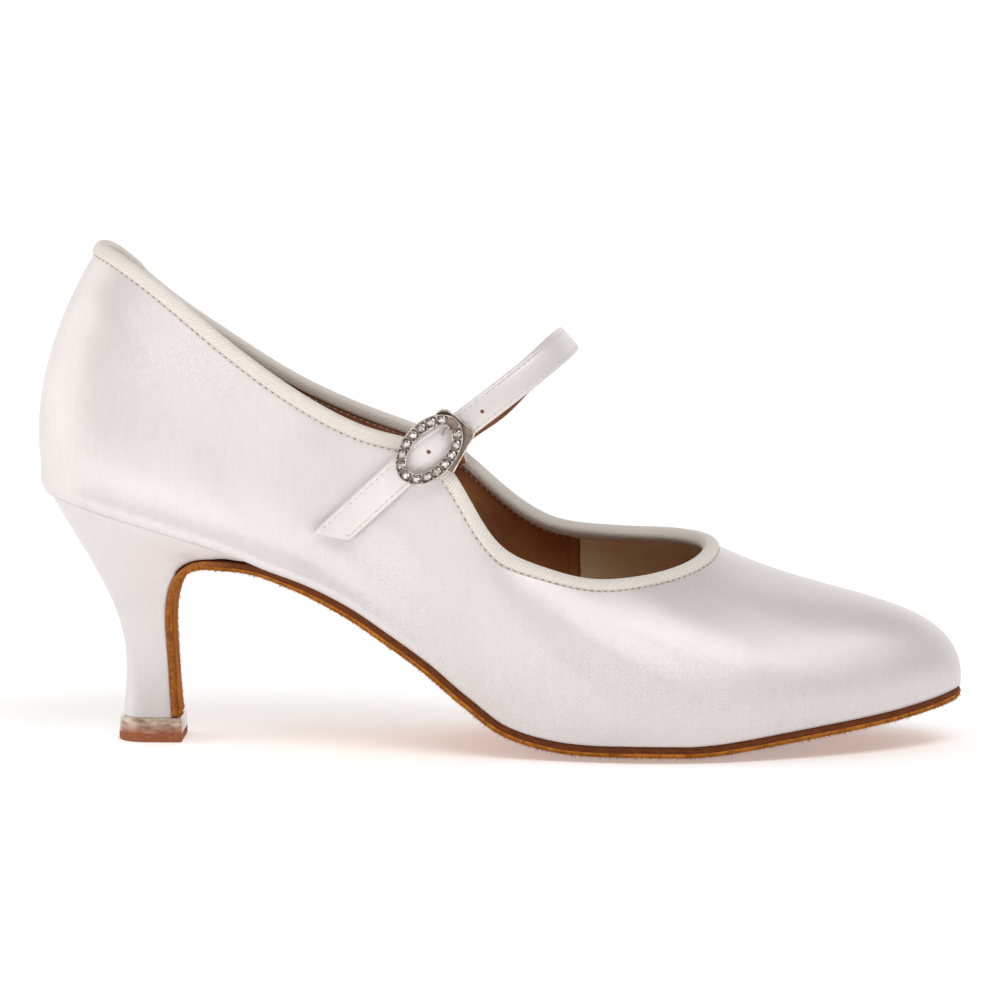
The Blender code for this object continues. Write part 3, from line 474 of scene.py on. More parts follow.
def finished(made, bumps, **sockets):
    """Feeds the shader: bumps (height, depth in metres, strength) one over another, then its sockets."""
    tree = made.node_tree
    shader = tree.nodes["Principled BSDF"]
    under = None
    for height, depth, strength in bumps:
        layer = tree.nodes.new("ShaderNodeBump")
        fed(tree, layer.inputs["Height"], height)
        fed(tree, layer.inputs["Distance"], depth)
        fed(tree, layer.inputs["Strength"], strength)
        if under:
            fed(tree, layer.inputs["Normal"], under)
        under = layer.outputs["Normal"]
    fed(tree, shader.inputs["Normal"], under)
    for socket, value in sockets.items():
        fed(tree, shader.inputs[socket.replace("_", " ")], value)
    return made


def coordinates(tree, turn=(0, 0, 0), scale=(1, 1, 1), output="Object"):
    """Coordinates turned by degrees and then stretched."""
    source = tree.nodes.new("ShaderNodeTexCoord")
    mapping = tree.nodes.new("ShaderNodeMapping")
    mapping.inputs["Rotation"].default_value = [math.radians(v) for v in turn]
    mapping.inputs["Scale"].default_value = scale
    fed(tree, mapping.inputs["Vector"], source.outputs[output])
    return mapping.outputs["Vector"]


def position(tree, axis):
    """How far along X, Y or Z each point lies, in metres."""
    parts = tree.nodes.new("ShaderNodeSeparateXYZ")
    fed(tree, parts.inputs[0], coordinates(tree))
    return parts.outputs[axis]


def noise(tree, vector, scale, detail=3, roughness=0.5):
    """Soft random patches."""
    made = tree.nodes.new("ShaderNodeTexNoise")
    for socket, value in (("Scale", scale), ("Detail", detail), ("Roughness", roughness), ("Vector", vector)):
        fed(tree, made.inputs[socket], value)
    return made.outputs["Fac"]


def ribs(tree, vector, pitch, wobble=0.0):
    """Ribs across the vector's X, pitch metres apart."""
    made = tree.nodes.new("ShaderNodeTexWave")
    scale = 2 * math.pi / 20 / pitch  # at scale 1 the ribs are two pi twentieths apart
    for socket, value in (("Scale", scale), ("Distortion", wobble), ("Detail", 1), ("Vector", vector)):
        fed(tree, made.inputs[socket], value)
    return made.outputs["Fac"]


def mixed(tree, kind, share, first, second):
    """Two colours put together by a share."""
    made = tree.nodes.new("ShaderNodeMix")
    made.data_type, made.blend_type = "RGBA", kind
    for number, value in ((0, share), (6, first), (7, second)):
        fed(tree, made.inputs[number], value)
    return made.outputs[2]


def blended(tree, share, low, high):
    """A colour that runs from low to high with the share."""
    return mixed(tree, "MIX", share, low, high)


def tinted(tree, share, colour, low, high):
    """A colour multiplied by a tint that runs from low to high with the share."""
    return mixed(tree, "MULTIPLY", 1, colour, blended(tree, share, low, high))


def shaded(tree, field, start, end, low, high):
    """A colour that runs from low to high while the field runs from start to end."""
    return blended(tree, ranged(tree, field, start, end), low, high)


def reckoned(tree, kind, *values):
    """One step of arithmetic."""
    made = tree.nodes.new("ShaderNodeMath")
    made.operation = kind
    for socket, value in zip(made.inputs, values):
        fed(tree, socket, value)
    return made.outputs[0]


def ranged(tree, value, low, high, to_low=0.0, to_high=1.0):
    """Turns the run from low to high into one from to_low to to_high, and stops at its ends."""
    made = tree.nodes.new("ShaderNodeMapRange")
    for socket, number in zip(("From Min", "From Max", "To Min", "To Max"), (low, high, to_low, to_high)):
        fed(tree, made.inputs[socket], number)
    fed(tree, made.inputs["Value"], value)
    return made.outputs["Result"]


def white_satin():
    """Heavy satin: a smooth lit face over a fine crossed weave, with soft uneven patches."""
    made, tree = new_material("white_satin")
    rising = ribs(tree, coordinates(tree, (0, 44, 0)), 0.00046, 1.6)
    falling = ribs(tree, coordinates(tree, (0, -40, 0)), 0.0006, 2.4)
    crossed = reckoned(tree, "MULTIPLY_ADD", rising, 0.7, reckoned(tree, "MULTIPLY", falling, 0.3))
    # The ribs fade at the middle of the toe and of the back, where they would draw rings.
    at_side = ranged(tree, reckoned(tree, "ABSOLUTE", position(tree, "Y")), 0.006, 0.020, 0.12, 1)
    weave = reckoned(tree, "MULTIPLY_ADD", reckoned(tree, "SUBTRACT", crossed, 0.5), at_side, 0.5)
    broad = noise(tree, coordinates(tree), 26, 2)
    slubs = noise(tree, coordinates(tree, (0, 44, 0), (1, 1, 0.12)), 900, 2)
    patches = shaded(tree, broad, 0.35, 0.65, (0.685, 0.64, 0.635), (0.745, 0.70, 0.695))
    threads = reckoned(tree, "MULTIPLY_ADD", weave, 0.6, reckoned(tree, "MULTIPLY", slubs, 0.4))
    colour = tinted(tree, ranged(tree, threads, 0.2, 0.8), patches, (0.885, 0.88, 0.875), (1.03, 1.03, 1.03))
    return finished(
        made, [(broad, 0.0012, 0.5), (slubs, 0.00008, 0.6), (weave, 0.00007, 0.7)],
        Base_Color=colour, Roughness=ranged(tree, broad, 0.3, 0.7, 0.38, 0.5), Metallic=0.35,
        Specular_IOR_Level=0.8, Coat_Weight=0.25, Coat_Roughness=0.34,
    )


def cream_twill():
    """Bias tape: raised diagonal ribs, with painted shade, darker and yellower, in the hollows between them."""
    made, tree = new_material("cream_twill")
    weave = ribs(tree, coordinates(tree, (0, 0, 48), output="UV"), 0.00052)
    fuzz = noise(tree, coordinates(tree), 2500, 2)
    # Painted shade: the colour darkens towards the hollows between the ribs.
    colour = shaded(tree, weave, 0.05, 0.75, (0.63, 0.575, 0.52), (0.76, 0.71, 0.655))
    return finished(
        made, [(weave, 0.00012, 0.8), (fuzz, 0.00005, 0.6)], Base_Color=colour, Roughness=0.6, Sheen_Weight=0.2
    )


def cream_thread():
    """Thread of two plies twisted together."""
    made, tree = new_material("cream_thread")
    plies = ribs(tree, coordinates(tree, (0, 30, 0)), 0.00016)
    colour = blended(tree, plies, (0.64, 0.585, 0.52), (0.80, 0.75, 0.70))
    return finished(made, [(plies, 0.00005, 0.6)], Base_Color=colour, Roughness=0.5)


def needle_shadow():
    """Painted shadow: the dark colour of the hollow where the needle went through."""
    made, tree = new_material("needle_shadow")
    spread = noise(tree, coordinates(tree), 700, 3)
    colour = shaded(tree, spread, 0.3, 0.7, (0.29, 0.21, 0.145), (0.50, 0.40, 0.31))
    return finished(made, [(spread, 0.00005, 0.4)], Base_Color=colour, Roughness=0.8)


def brown_leather():
    """Thin tan-brown lining leather with a fine grain and darker rubbed patches."""
    made, tree = new_material("brown_leather")
    where = coordinates(tree)
    patches = noise(tree, where, 70, 4)
    grain = noise(tree, where, 1500, 4, 0.6)
    pores = noise(tree, where, 5200, 2, 0.6)
    broad = shaded(tree, patches, 0.3, 0.7, (0.24, 0.078, 0.02), (0.42, 0.165, 0.048))
    colour = tinted(tree, ranged(tree, grain, 0.3, 0.7), broad, (0.82, 0.8, 0.78), (1, 1, 1))
    return finished(
        made, [(grain, 0.00025, 0.6), (pores, 0.00005, 0.5)],
        Base_Color=colour, Roughness=ranged(tree, grain, 0.3, 0.7, 0.48, 0.64),
    )


def cream_lining():
    """Plain cotton lining, warp and weft, a little yellowed."""
    made, tree = new_material("cream_lining")
    warp = ribs(tree, coordinates(tree, (0, 12, 20)), 0.0005)
    weft = ribs(tree, coordinates(tree, (0, 102, 20)), 0.0005)
    weave = reckoned(tree, "MULTIPLY", warp, weft)
    stain = noise(tree, coordinates(tree), 45, 3)
    broad = shaded(tree, stain, 0.35, 0.65, (0.95, 0.75, 0.46), (1.0, 0.90, 0.64))
    colour = tinted(tree, weave, broad, (0.86, 0.84, 0.80), (1, 1, 1))
    return finished(made, [(weave, 0.00012, 0.6)], Base_Color=colour, Roughness=0.8, Specular_IOR_Level=DULL)


def raised_suede():
    """Brushed sole leather: short raised nap in streaks and darker worn patches."""
    made, tree = new_material("raised_suede")
    nap = noise(tree, coordinates(tree), 1100, 5, 0.75)
    streaks = noise(tree, coordinates(tree, (0, 0, 12), (1, 5, 1)), 160, 4, 0.6)
    broad = shaded(tree, streaks, 0.3, 0.7, (0.40, 0.12, 0.012), (0.80, 0.31, 0.05))
    colour = tinted(tree, ranged(tree, nap, 0.3, 0.7), broad, (0.62, 0.58, 0.52), (1.1, 1.08, 1.05))
    return finished(made, [(nap, 0.0007, 1.0)], Base_Color=colour, Roughness=0.95, Specular_IOR_Level=DULL)


def trimmed_edge():
    """The cut and burnished edge of the sole leather, left brushed down the breast of the heel."""
    made, tree = new_material("trimmed_edge")
    layers = noise(tree, coordinates(tree, scale=(1, 14, 1), output="UV"), 320, 4, 0.6)
    burnished = shaded(tree, layers, 0.32, 0.7, (0.075, 0.016, 0.004), (0.21, 0.055, 0.012))
    nap = noise(tree, coordinates(tree), 1100, 5, 0.75)
    brushed = shaded(tree, nap, 0.35, 0.65, (0.18, 0.05, 0.008), (0.50, 0.18, 0.035))
    colour = shaded(tree, position(tree, "X"), -0.068, -0.078, burnished, brushed)
    return finished(
        made, [(layers, 0.0002, 0.7), (nap, 0.0003, 0.6)],
        Base_Color=colour, Roughness=0.62, Specular_IOR_Level=DULL,
    )


def clear_plastic():
    """Clear plastic gone beige, with faint moulding lines; the red of the lift under it is painted in towards its
    lower edge, as if seen through the plastic.
    """
    made, tree = new_material("clear_plastic")
    flow = noise(tree, coordinates(tree, (20, 0, 0), (1, 1, 3)), 240, 3)
    height = reckoned(tree, "MULTIPLY_ADD", flow, 0.004, position(tree, "Z"))
    clear = shaded(tree, flow, 0.38, 0.62, (0.42, 0.31, 0.19), (0.90, 0.76, 0.64))
    # Painted show-through: lower down the colour is tinted towards the lift's red.
    colour = tinted(tree, ranged(tree, height, 0.0048, 0.0078), clear, (0.62, 0.22, 0.09), (1, 1, 1))
    return finished(
        made, [(flow, 0.00015, 0.3)], Base_Color=colour, Roughness=0.12, Transmission_Weight=0.35, Coat_Weight=0.6
    )


def lift_leather():
    """The terracotta suede under the cap."""
    made, tree = new_material("lift_leather")
    nap = noise(tree, coordinates(tree), 1300, 4, 0.7)
    colour = shaded(tree, nap, 0.3, 0.7, (0.28, 0.088, 0.04), (0.42, 0.16, 0.078))
    return finished(made, [(nap, 0.0003, 0.8)], Base_Color=colour, Roughness=0.9, Specular_IOR_Level=DULL)


def aged_silver():
    """Plated metal, bright on its edges and dulled in patches."""
    made, tree = new_material("aged_silver")
    tarnish = noise(tree, coordinates(tree), 700, 4, 0.6)
    colour = shaded(tree, tarnish, 0.38, 0.66, (0.30, 0.25, 0.215), (0.66, 0.59, 0.53))
    return finished(
        made, [(tarnish, 0.0001, 0.4)],
        Base_Color=colour, Roughness=ranged(tree, tarnish, 0.3, 0.7, 0.2, 0.36), Metallic=1.0,
    )


def shade_darkened_silver():
    """The same metal, darkened as painted shade where it lies in the recesses of the channel and under the frame.
    """
    made, tree = new_material("shade_darkened_silver")
    tarnish = noise(tree, coordinates(tree), 1500, 3, 0.6)
    colour = blended(tree, tarnish, (0.09, 0.065, 0.05), (0.30, 0.235, 0.195))
    return finished(made, [(tarnish, 0.0001, 0.4)], Base_Color=colour, Roughness=0.4, Metallic=0.8)


def cut_glass():
    """Foil-backed glass with painted glints: each facet is given its own brightness, standing in for the different
    light that each facet throws back.
    """
    made, tree = new_material("cut_glass")
    facet = tree.nodes.new("ShaderNodeAttribute")
    facet.attribute_name = "facet"
    colour = blended(tree, facet.outputs["Fac"], (0.09, 0.068, 0.064), (0.62, 0.56, 0.55))
    return finished(
        made, [(noise(tree, coordinates(tree), 900, 1), 0.00005, 0.1)],
        Base_Color=colour, Roughness=0.05, Metallic=0.55, Coat_Weight=1.0, Coat_Roughness=0.02,
    )


def creased(places, shares):
    """The lift of every soft ridge and trough together, in mm, at points of the upper."""
    places, heights = np.broadcast_arrays(places, shares * WALL_HEIGHT)
    lift = np.zeros(places.shape)
    for first, low, last, high, width, height in CREASES:
        start = np.array([round_the_shoe(first), low * WALL_HEIGHT])
        way = np.array([round_the_shoe(last), high * WALL_HEIGHT]) - start
        run = np.stack([places, heights], -1) - start
        along = np.clip((run @ way) / (way @ way), 0, 1)
        off = np.linalg.norm(run - along[..., None] * way, axis=-1)
        lift += height * np.exp(-((off / width) ** 2)) * np.sin(math.pi * (0.12 + 0.76 * along))
    return lift


def puffed_edge(places, shares):
    """The lower edge stands proud where it turns in over the heel and the shank."""
    number = section_number(places)
    back = np.minimum(number, len(SECTIONS) - number)
    near = np.clip((6.5 - back) / 2.5, 0, 1)
    height = np.maximum(shares, 0) * WALL_HEIGHT
    ridge = 0.75 * np.exp(-(((height - 1.6) / 1.8) ** 2))
    trough = 0.5 * np.exp(-(((height - 6.4) / 2.8) ** 2)) * np.clip(back / 2.5, 0.2, 1)
    return near * (ridge - trough)


def make_upper(satin, leather, lining):
    """The satin shell with its lining: outer face, collar, inner face and lower edge."""
    count, rises, inner_rises, foot = 460, 66, 28, -0.006
    places = np.linspace(0, ROUND, count, endpoint=False)[:, None]
    shares = np.linspace(foot, 1, rises)[None, :]
    outer = off_last(places, shares, creased(places, shares) + puffed_edge(places, shares))
    inner = off_last(places, np.linspace(1, foot, inner_rises)[None, :], -WALL)
    points = in_frame(np.concatenate([outer, inner], axis=1))
    piece = laid_grid("satin_upper", points, closed_round=True, closed_across=True)
    dressed(piece, "satin", satin, leather, lining, instead=["upper"])
    banded(piece, [0] * (rises - 1) + [1] * inner_rises + [0])
    seam = LINING_SEAM * MM
    with editing(piece, "DESELECT", [f.index for f in piece.data.polygons if f.material_index == 1]):
        bpy.ops.mesh.bisect(plane_co=(seam, 0, 0), plane_no=(1, 0, 0))
    for face in piece.data.polygons:
        if face.material_index == 1 and face.center.x > seam:
            face.material_index = 2


def make_lining_seam(leather):
    """The lap where the leather lining ends over the cotton one."""
    profile = [(1.2, 0.0), (1.0, 0.35), (0.0, 0.42), (-1.2, 0.35), (-2.2, 0.0)]
    for side, low, high, forward in (("outer", 7.0, 10.0, -1.0), ("inner", 23.5, 20.5, 1.0)):
        fine = round_the_shoe(np.linspace(low, high, 240))
        lap = []
        for share in np.linspace(0.06, 0.93, 40):
            wall = in_frame(off_last(fine, share, -WALL))
            place = fine[np.argmin(np.abs(wall[:, 0] - LINING_SEAM * MM))]
            lap.append([off_last(place + across * forward, share, -WALL - lift) for across, lift in profile])
        piece = laid_grid(f"lining_lap_{side}", in_frame(np.array(lap)), closed_across=True)
        dressed(closed_ends(piece), "leather", leather)


def make_binding(twill):
    """The tape rolled over the collar and turned in on both sides, fuller round the throat."""
    near, far, tape = GAP, -WALL - GAP, 0.7
    out, back, middle = near + tape, far - tape, (near + far) / 2
    profile = [
        (3.0, 0.06), (2.97, near), (2.6, out - 0.2), (1.9, out - 0.02), (1.1, out + 0.08),
        (0.4, out + 0.06), (-0.2, out - 0.12), (-0.62, out - 0.5), (-0.84, (out + middle) / 2 + 0.05),
        (-0.92, middle), (-0.84, (back + middle) / 2 - 0.05), (-0.5, back + 0.4), (0.0, back + 0.05),
        (0.8, back - 0.05), (1.6, back), (2.3, back + 0.2), (2.5, far - 0.1),
        (1.0, far), (-0.25, far + 0.1), (-0.25, near - 0.1), (1.2, near), (2.4, near),
    ]
    depth, lift = np.array(profile).T
    places = np.linspace(0, ROUND, 522, endpoint=False)[:, None]
    number = section_number(places)
    throat = np.clip((number - 7) / 2, 0, 1) * np.clip((23.5 - number) / 2, 0, 1)
    standing = np.clip((lift - near) / tape, 0, 1) * np.clip((depth + 0.9) / 1.5, 0, 1)
    stitches = round(ROUND / TOPLINE_STITCH[2])
    puckers = 0.05 * np.cos(places / ROUND * stitches * 2 * math.pi) * (depth > 1.5)
    doubled = np.clip((number - 27.42) / 0.05, 0, 1) * np.clip((len(SECTIONS) - number) / 0.6, 0, 1)
    points = below_collar(places, depth - 0.45 * doubled * (depth < 0), lift + standing * (throat * 0.3 + puckers))
    piece = laid_grid("twill_binding", in_frame(points), closed_round=True, closed_across=True)
    modified(piece, "SUBSURF", levels=1, render_levels=1)
    dressed(piece, "binding", twill, instead=["topline_binding"])


def sewn_row(name, slot, line, outs, sizes, thread, shadow):
    """A row of stitches along a line, with a dark lens of painted shadow for the needle's hollow between each two.
    """
    stitch, hollow, pitch = sizes
    # The holes are dark lenses sunk into the cloth: painted shadow of the needle's hollow.
    for part, stuff, shift, size, sunk in (
        ("thread", thread, 0.5, stitch, 0.0), ("holes", shadow, 0.0, hollow, 0.12 * MM),
    ):
        spots, ways = evenly(line, pitch * MM, shift)
        up = unit(outs[[np.argmin(((line - spot) ** 2).sum(-1)) for spot in spots]])
        dressed(row_of_copies(f"{name}_{part}", one_stitch(*size), spots - up * sunk, ways, up), slot, stuff)


def evenly(points, pitch, shift=0.5):
    """Points a pitch apart along a line, and the way that the line runs at each."""
    steps = np.linalg.norm(np.diff(points, axis=0), axis=1)
    run = np.concatenate([[0], np.cumsum(steps)])
    count = int(run[-1] / pitch)
    at = (np.arange(count) + shift) * run[-1] / count

    def on_line(distance):
        return np.stack([np.interp(distance, run, points[:, i]) for i in range(3)], -1)

    ahead, behind = np.minimum(at + pitch / 4, run[-1]), np.maximum(at - pitch / 4, 0)
    return on_line(at), unit(on_line(ahead) - on_line(behind))


def one_stitch(length, width, depth):
    """A single stitch of a size in mm: a thread that dips into the cloth at both ends."""
    nothing_selected()
    bpy.ops.mesh.primitive_uv_sphere_add(segments=8, ring_count=6, radius=1)
    piece = bpy.context.object
    with editing(piece):
        bpy.ops.transform.rotate(value=math.pi / 2, orient_axis="Y", center_override=(0, 0, 0))
        half = (length / 2 * MM, width / 2 * MM, depth / 2 * MM)
        bpy.ops.transform.resize(value=half, center_override=(0, 0, 0))
    points = np.array([v.co[:] for v in piece.data.vertices])
    faces = [list(p.vertices) for p in piece.data.polygons]
    bpy.data.objects.remove(piece)
    return points, faces


def row_of_copies(name, pattern, spots, ways, outs):
    """Copies of a small piece, one at each spot, turned along the line, joined in one mesh."""
    points, faces = pattern
    ways, outs = np.broadcast_to(ways, spots.shape), np.broadcast_to(outs, spots.shape)
    outs = unit(outs - ways * (outs * ways).sum(-1, keepdims=True))
    axes = np.stack([ways, np.cross(outs, ways), outs], 1)
    joined = [[i + len(points) * copy for i in face] for copy in range(len(spots)) for face in faces]
    mesh = bpy.data.meshes.new(name)
    mesh.from_pydata((spots[:, None] + points @ axes).reshape(-1, 3).tolist(), [], joined)
    mesh.shade_smooth()
    return placed(name, mesh)


def make_topline_stitches(thread, shadow):
    """The seam that holds the tape, outside and inside."""
    places = np.linspace(0, ROUND, 1500)
    for name, slot, depth, lift, sizes in (
        ("topline", "binding", 3.08, 0.2, TOPLINE_STITCH),
        ("lining_seam", "leather", 3.1, -WALL - 0.08, LINING_STITCH),
    ):
        line, middle = (in_frame(below_collar(places, depth, rise)) for rise in (lift, 0.0))
        sewn_row(name, slot, line, line - middle, sizes, thread, shadow)


strap_at = spline(np.linspace(0, STRAP_LENGTH, len(STRAP_LINE)), STRAP_LINE)


def on_strap(run, across, lift):
    """A point of the strap: run along it, then across and off its middle, with its directions."""
    run = np.asarray(run, float)
    low, high = np.maximum(run - PROBE, 0.0), np.minimum(run + PROBE, STRAP_LENGTH)
    way = unit(strap_at(high) - strap_at(low))
    wide = unit(STRAP_SIDE - way * (way @ STRAP_SIDE)[..., None])
    face = np.cross(way, wide)
    slant = 3.1 * np.maximum(0.0, 1 - run / 9.3)  # the tail's end is cut on a slant
    widened = 1 + 0.4 * np.clip((43.7 - run) / 10, 0.0, 1.0) / STRAP_HALF
    point = strap_at(run) + wide * (across * widened)[..., None] + face * np.asarray(lift)[..., None]
    return point - way * (slant * across / STRAP_HALF)[..., None], way, face


def make_strap(satin, leather, thread, shadow):
    """The strap: satin turned over both edges, backed with leather, stitched and punched."""
    top = [
        (3.7, 0.0), (3.68, 0.28), (3.55, 0.5), (3.3, 0.64), (2.95, 0.68), (2.65, 0.58), (2.35, 0.66),
        (1.8, 0.72), (0.9, 0.75),
    ]
    under = [(3.66, -0.26), (3.52, -0.46), (3.3, -0.56), (3.0, -0.66), (2.6, -0.72), (1.3, -0.75)]
    profile = top + [(0.0, 0.76)] + [(-w, f) for w, f in top[::-1]]
    profile += [(-w, f) for w, f in under] + [(0.0, -0.75)] + under[::-1]
    across, lift = np.array(profile).T
    runs = np.concatenate([[0.0, 0.12, 0.35], np.linspace(0.7, STRAP_LENGTH - 0.3, 300), [STRAP_LENGTH]])
    ends = np.clip(np.minimum(runs, STRAP_LENGTH - runs) / 0.7, 0, 1)
    thin = 0.55 + 0.45 * np.sqrt(1 - (1 - ends) ** 2)
    points, _, _ = on_strap(runs[:, None], across, lift * thin[:, None])
    piece = closed_ends(laid_grid("satin_strap", points * MM, closed_across=True))
    dressed(piece, "satin", satin, leather, instead=["strap"])
    banded(piece, [0] * 20 + [1] * 7 + [0] * 5)
    punch_holes(piece, leather)
    for side, edge in ((2.62, "upper"), (-2.62, "lower")):
        for start, stop, part in ((2.4, 24.5, "tail"), (42.0, STRAP_LENGTH - 3, "arch")):
            line, _, face = on_strap(np.linspace(start, stop, 500), side, 0.62)
            sewn_row(f"strap_{part}_{edge}", "satin", line * MM, face, STRAP_STITCH, thread, shadow)
    line, _, face = on_strap(np.full(60, 2.1), np.linspace(-2.3, 2.3, 60), 0.68)
    sewn_row("tail", "satin", line * MM, face, TAIL_STITCH, thread, shadow)


def punch_holes(strap, leather):
    """Cuts the three holes that the prong can take, and fills each with a plug of the leather: the backing's own
    colour, and painted shade for the hole's depth.
    """
    middles, ways, faces = on_strap(STRAP_HOLES, -0.25, 0.0)
    for middle, face in zip(middles, faces):
        turn = Vector(face).to_track_quat("Z", "Y").to_matrix().to_4x4()
        nothing_selected()
        bpy.ops.mesh.primitive_cylinder_add(vertices=20, radius=0.5 * MM, depth=4 * MM)
        punch = bpy.context.object
        punch.data.transform(Matrix.Translation(middle * MM) @ turn)
        modified(strap, "BOOLEAN", operation="DIFFERENCE", object=punch, solver="EXACT")
        bpy.data.objects.remove(punch)
    # The plugs are the backing's brown and also painted shade in the depth of each hole.
    dressed(row_of_copies("hole_backing", one_stitch(1.3, 1.3, 0.5), middles * MM, ways, faces), "leather", leather)


def make_buckle_frame(silver, dark):
    """The oval channel that the stones sit in: bright rims over a floor darkened as painted shade."""
    profile = [
        (1.45, 0.0), (1.48, 0.45), (1.45, 0.82), (1.36, 0.97), (1.22, 0.99), (1.13, 0.88), (1.1, 0.6),
        (1.0, 0.4), (0.5, 0.36), (-0.5, 0.36), (-1.0, 0.4), (-1.1, 0.6), (-1.13, 0.88), (-1.22, 0.99),
        (-1.36, 0.97), (-1.45, 0.82), (-1.48, 0.45), (-1.45, 0.0), (-0.7, -0.02), (0.7, -0.02),
    ]
    grow, height = np.array(profile).T
    u, v = buckle_oval(np.linspace(0, 2 * math.pi, 96, endpoint=False)[:, None], grow)
    points = on_buckle(u[..., None], v[..., None], height[:, None])
    piece = laid_grid("buckle_channel", points, closed_round=True, closed_across=True)
    dressed(piece, "silver", silver, dark, instead=["buckle_frame"])
    # The floor and inner walls of the channel take the darker metal: painted shade.
    banded(piece, [0] * 6 + [1] * 5 + [0] * 9)


def make_stones(glass, silver):
    """Fifteen round stones with flat facets, and the beads pushed up between them to hold them."""
    turns = stone_turns()
    sixteen = np.arange(16) * math.pi / 8
    eight = np.repeat(sixteen[::2], 2)  # each corner twice, merged below
    cut = [
        np.stack([width * np.cos(angles), width * np.sin(angles), np.full(16, rise)], -1)
        for angles, width, rise in (
            (eight, 0.52, 1.16), (eight + math.pi / 8, 0.86, 0.98), (sixteen, 1.12, 0.7), (sixteen, 1.12, 0.6),
            (eight, 0.6, 0.42),
        )
    ]
    shape = bmesh.new()
    facet = shape.faces.layers.float.new("facet")
    # Painted glints: a brightness for each facet, and for each stone's table, that stands in for the light it
    # throws back.
    painted_glints = (0.95, 0.2, 0.6, 0.08, 0.8, 0.35, 1.0, 0.12, 0.5, 0.9, 0.05, 0.7, 0.25, 1.0, 0.4, 0.15)
    for number, turn in enumerate(turns[2::2]):
        u, v = buckle_oval(turn)
        rings = [[shape.verts.new(on_buckle(u + x, v + y, z)) for x, y, z in ring] for ring in cut]
        for level, (ring, after) in enumerate(zip(rings, rings[1:])):
            for i in range(16):
                j = (i + 1) % 16
                face = shape.faces.new((ring[i], ring[j], after[j], after[i]))
                face[facet] = painted_glints[(i * 3 + level * 5 + number * 7) % 16]
        shape.faces.new(rings[0])[facet] = 0.35 + 0.5 * ((number * 5) % 4) / 3
        shape.faces.new(rings[-1][::-1])[facet] = 0.1
    bmesh.ops.remove_doubles(shape, verts=shape.verts, dist=0.002 * MM)
    bmesh.ops.recalc_face_normals(shape, faces=shape.faces)
    mesh = bpy.data.meshes.new("cut_stones")
    shape.to_mesh(mesh)
    shape.free()
    dressed(placed("cut_stones", mesh), "stone_glass", glass, instead=[f"stone_{n:02d}" for n in range(1, 16)])
    spots = np.array([
        on_buckle(*buckle_oval(turn, grow), 0.86) for turn in turns[1::2] for grow in (0.98, -0.98)
    ])
    beads = row_of_copies("stone_beads", one_stitch(0.6, 0.6, 0.5), spots, BUCKLE_LONG, BUCKLE_OUT)
    dressed(beads, "silver", silver)


def make_keeper(silver, dark):
    """The wide flat keeper under the top of the frame, bright along its outer edge and darker inward as painted
    shade under the frame, and the prong.
    """
    corners = np.array([
        (5.0, -3.8, 4.4, -2.4), (8.0, -4.5, 6.6, -3.0), (9.3, -4.1, 7.6, -2.8), (10.2, -3.0, 8.2, -2.0),
        (10.8, 4.9, 8.6, 2.8), (10.0, 5.8, 7.8, 3.6), (-0.7, 8.2, -1.2, 5.2),
    ])
    profile = [
        (0.5, -0.42), (0.42, -0.3), (0.05, -0.3), (-0.05, -0.46), (-0.5, -0.52), (None, -0.55),
        (None, -0.9), (0.42, -0.95), (0.5, -0.85),
    ]  # None is a point of the inner side
    points = []
    for outer, inner in zip(corners[:, :2], corners[:, 2:]):
        way = unit(outer - inner)
        points.append([on_buckle(*(inner if out is None else outer + way * out), h) for out, h in profile])
    piece = closed_ends(laid_grid("buckle_keeper", np.array(points), closed_across=True))
    dressed(piece, "silver", silver, dark, instead=["buckle_bail"])
    # The inner, lower part of its face takes the darker metal: painted shade under the frame.
    banded(piece, [0, 0, 1, 1, 1, 1, 0, 0, 0])
    modified(piece, "BEVEL", width=0.08 * MM, segments=2, limit_method="ANGLE", angle_limit=math.radians(50))
    prong = worked_copy("buckle_prong", "buckle_prong_rod")
    softened(prong, 0.1, 2, 30, 2)
    dressed(prong, "silver", silver, instead=["buckle_prong"])


def edge_sides(inset):
    """Functions of X for both sides of the lower edge moved in by inset, and the X of its tip."""
    places = np.linspace(0, ROUND, 900, endpoint=False)
    points = section_at(places)[:, :2] - outward(plan_way(places, 0))[:, :2] * inset
    back, tip = np.argmin(points[:, 0]), np.argmax(points[:, 0])
    outer = np.roll(points, -back, axis=0)[: (tip - back) % len(points) + 1]
    inner = np.roll(points, -tip, axis=0)[: (back - tip) % len(points) + 1][::-1]
    sides = [run[np.argsort(run[:, 0])] for run in (outer, inner)]
    return [lambda x, run=run: np.interp(x, run[:, 0], run[:, 1]) for run in sides] + [points[tip, 0]]


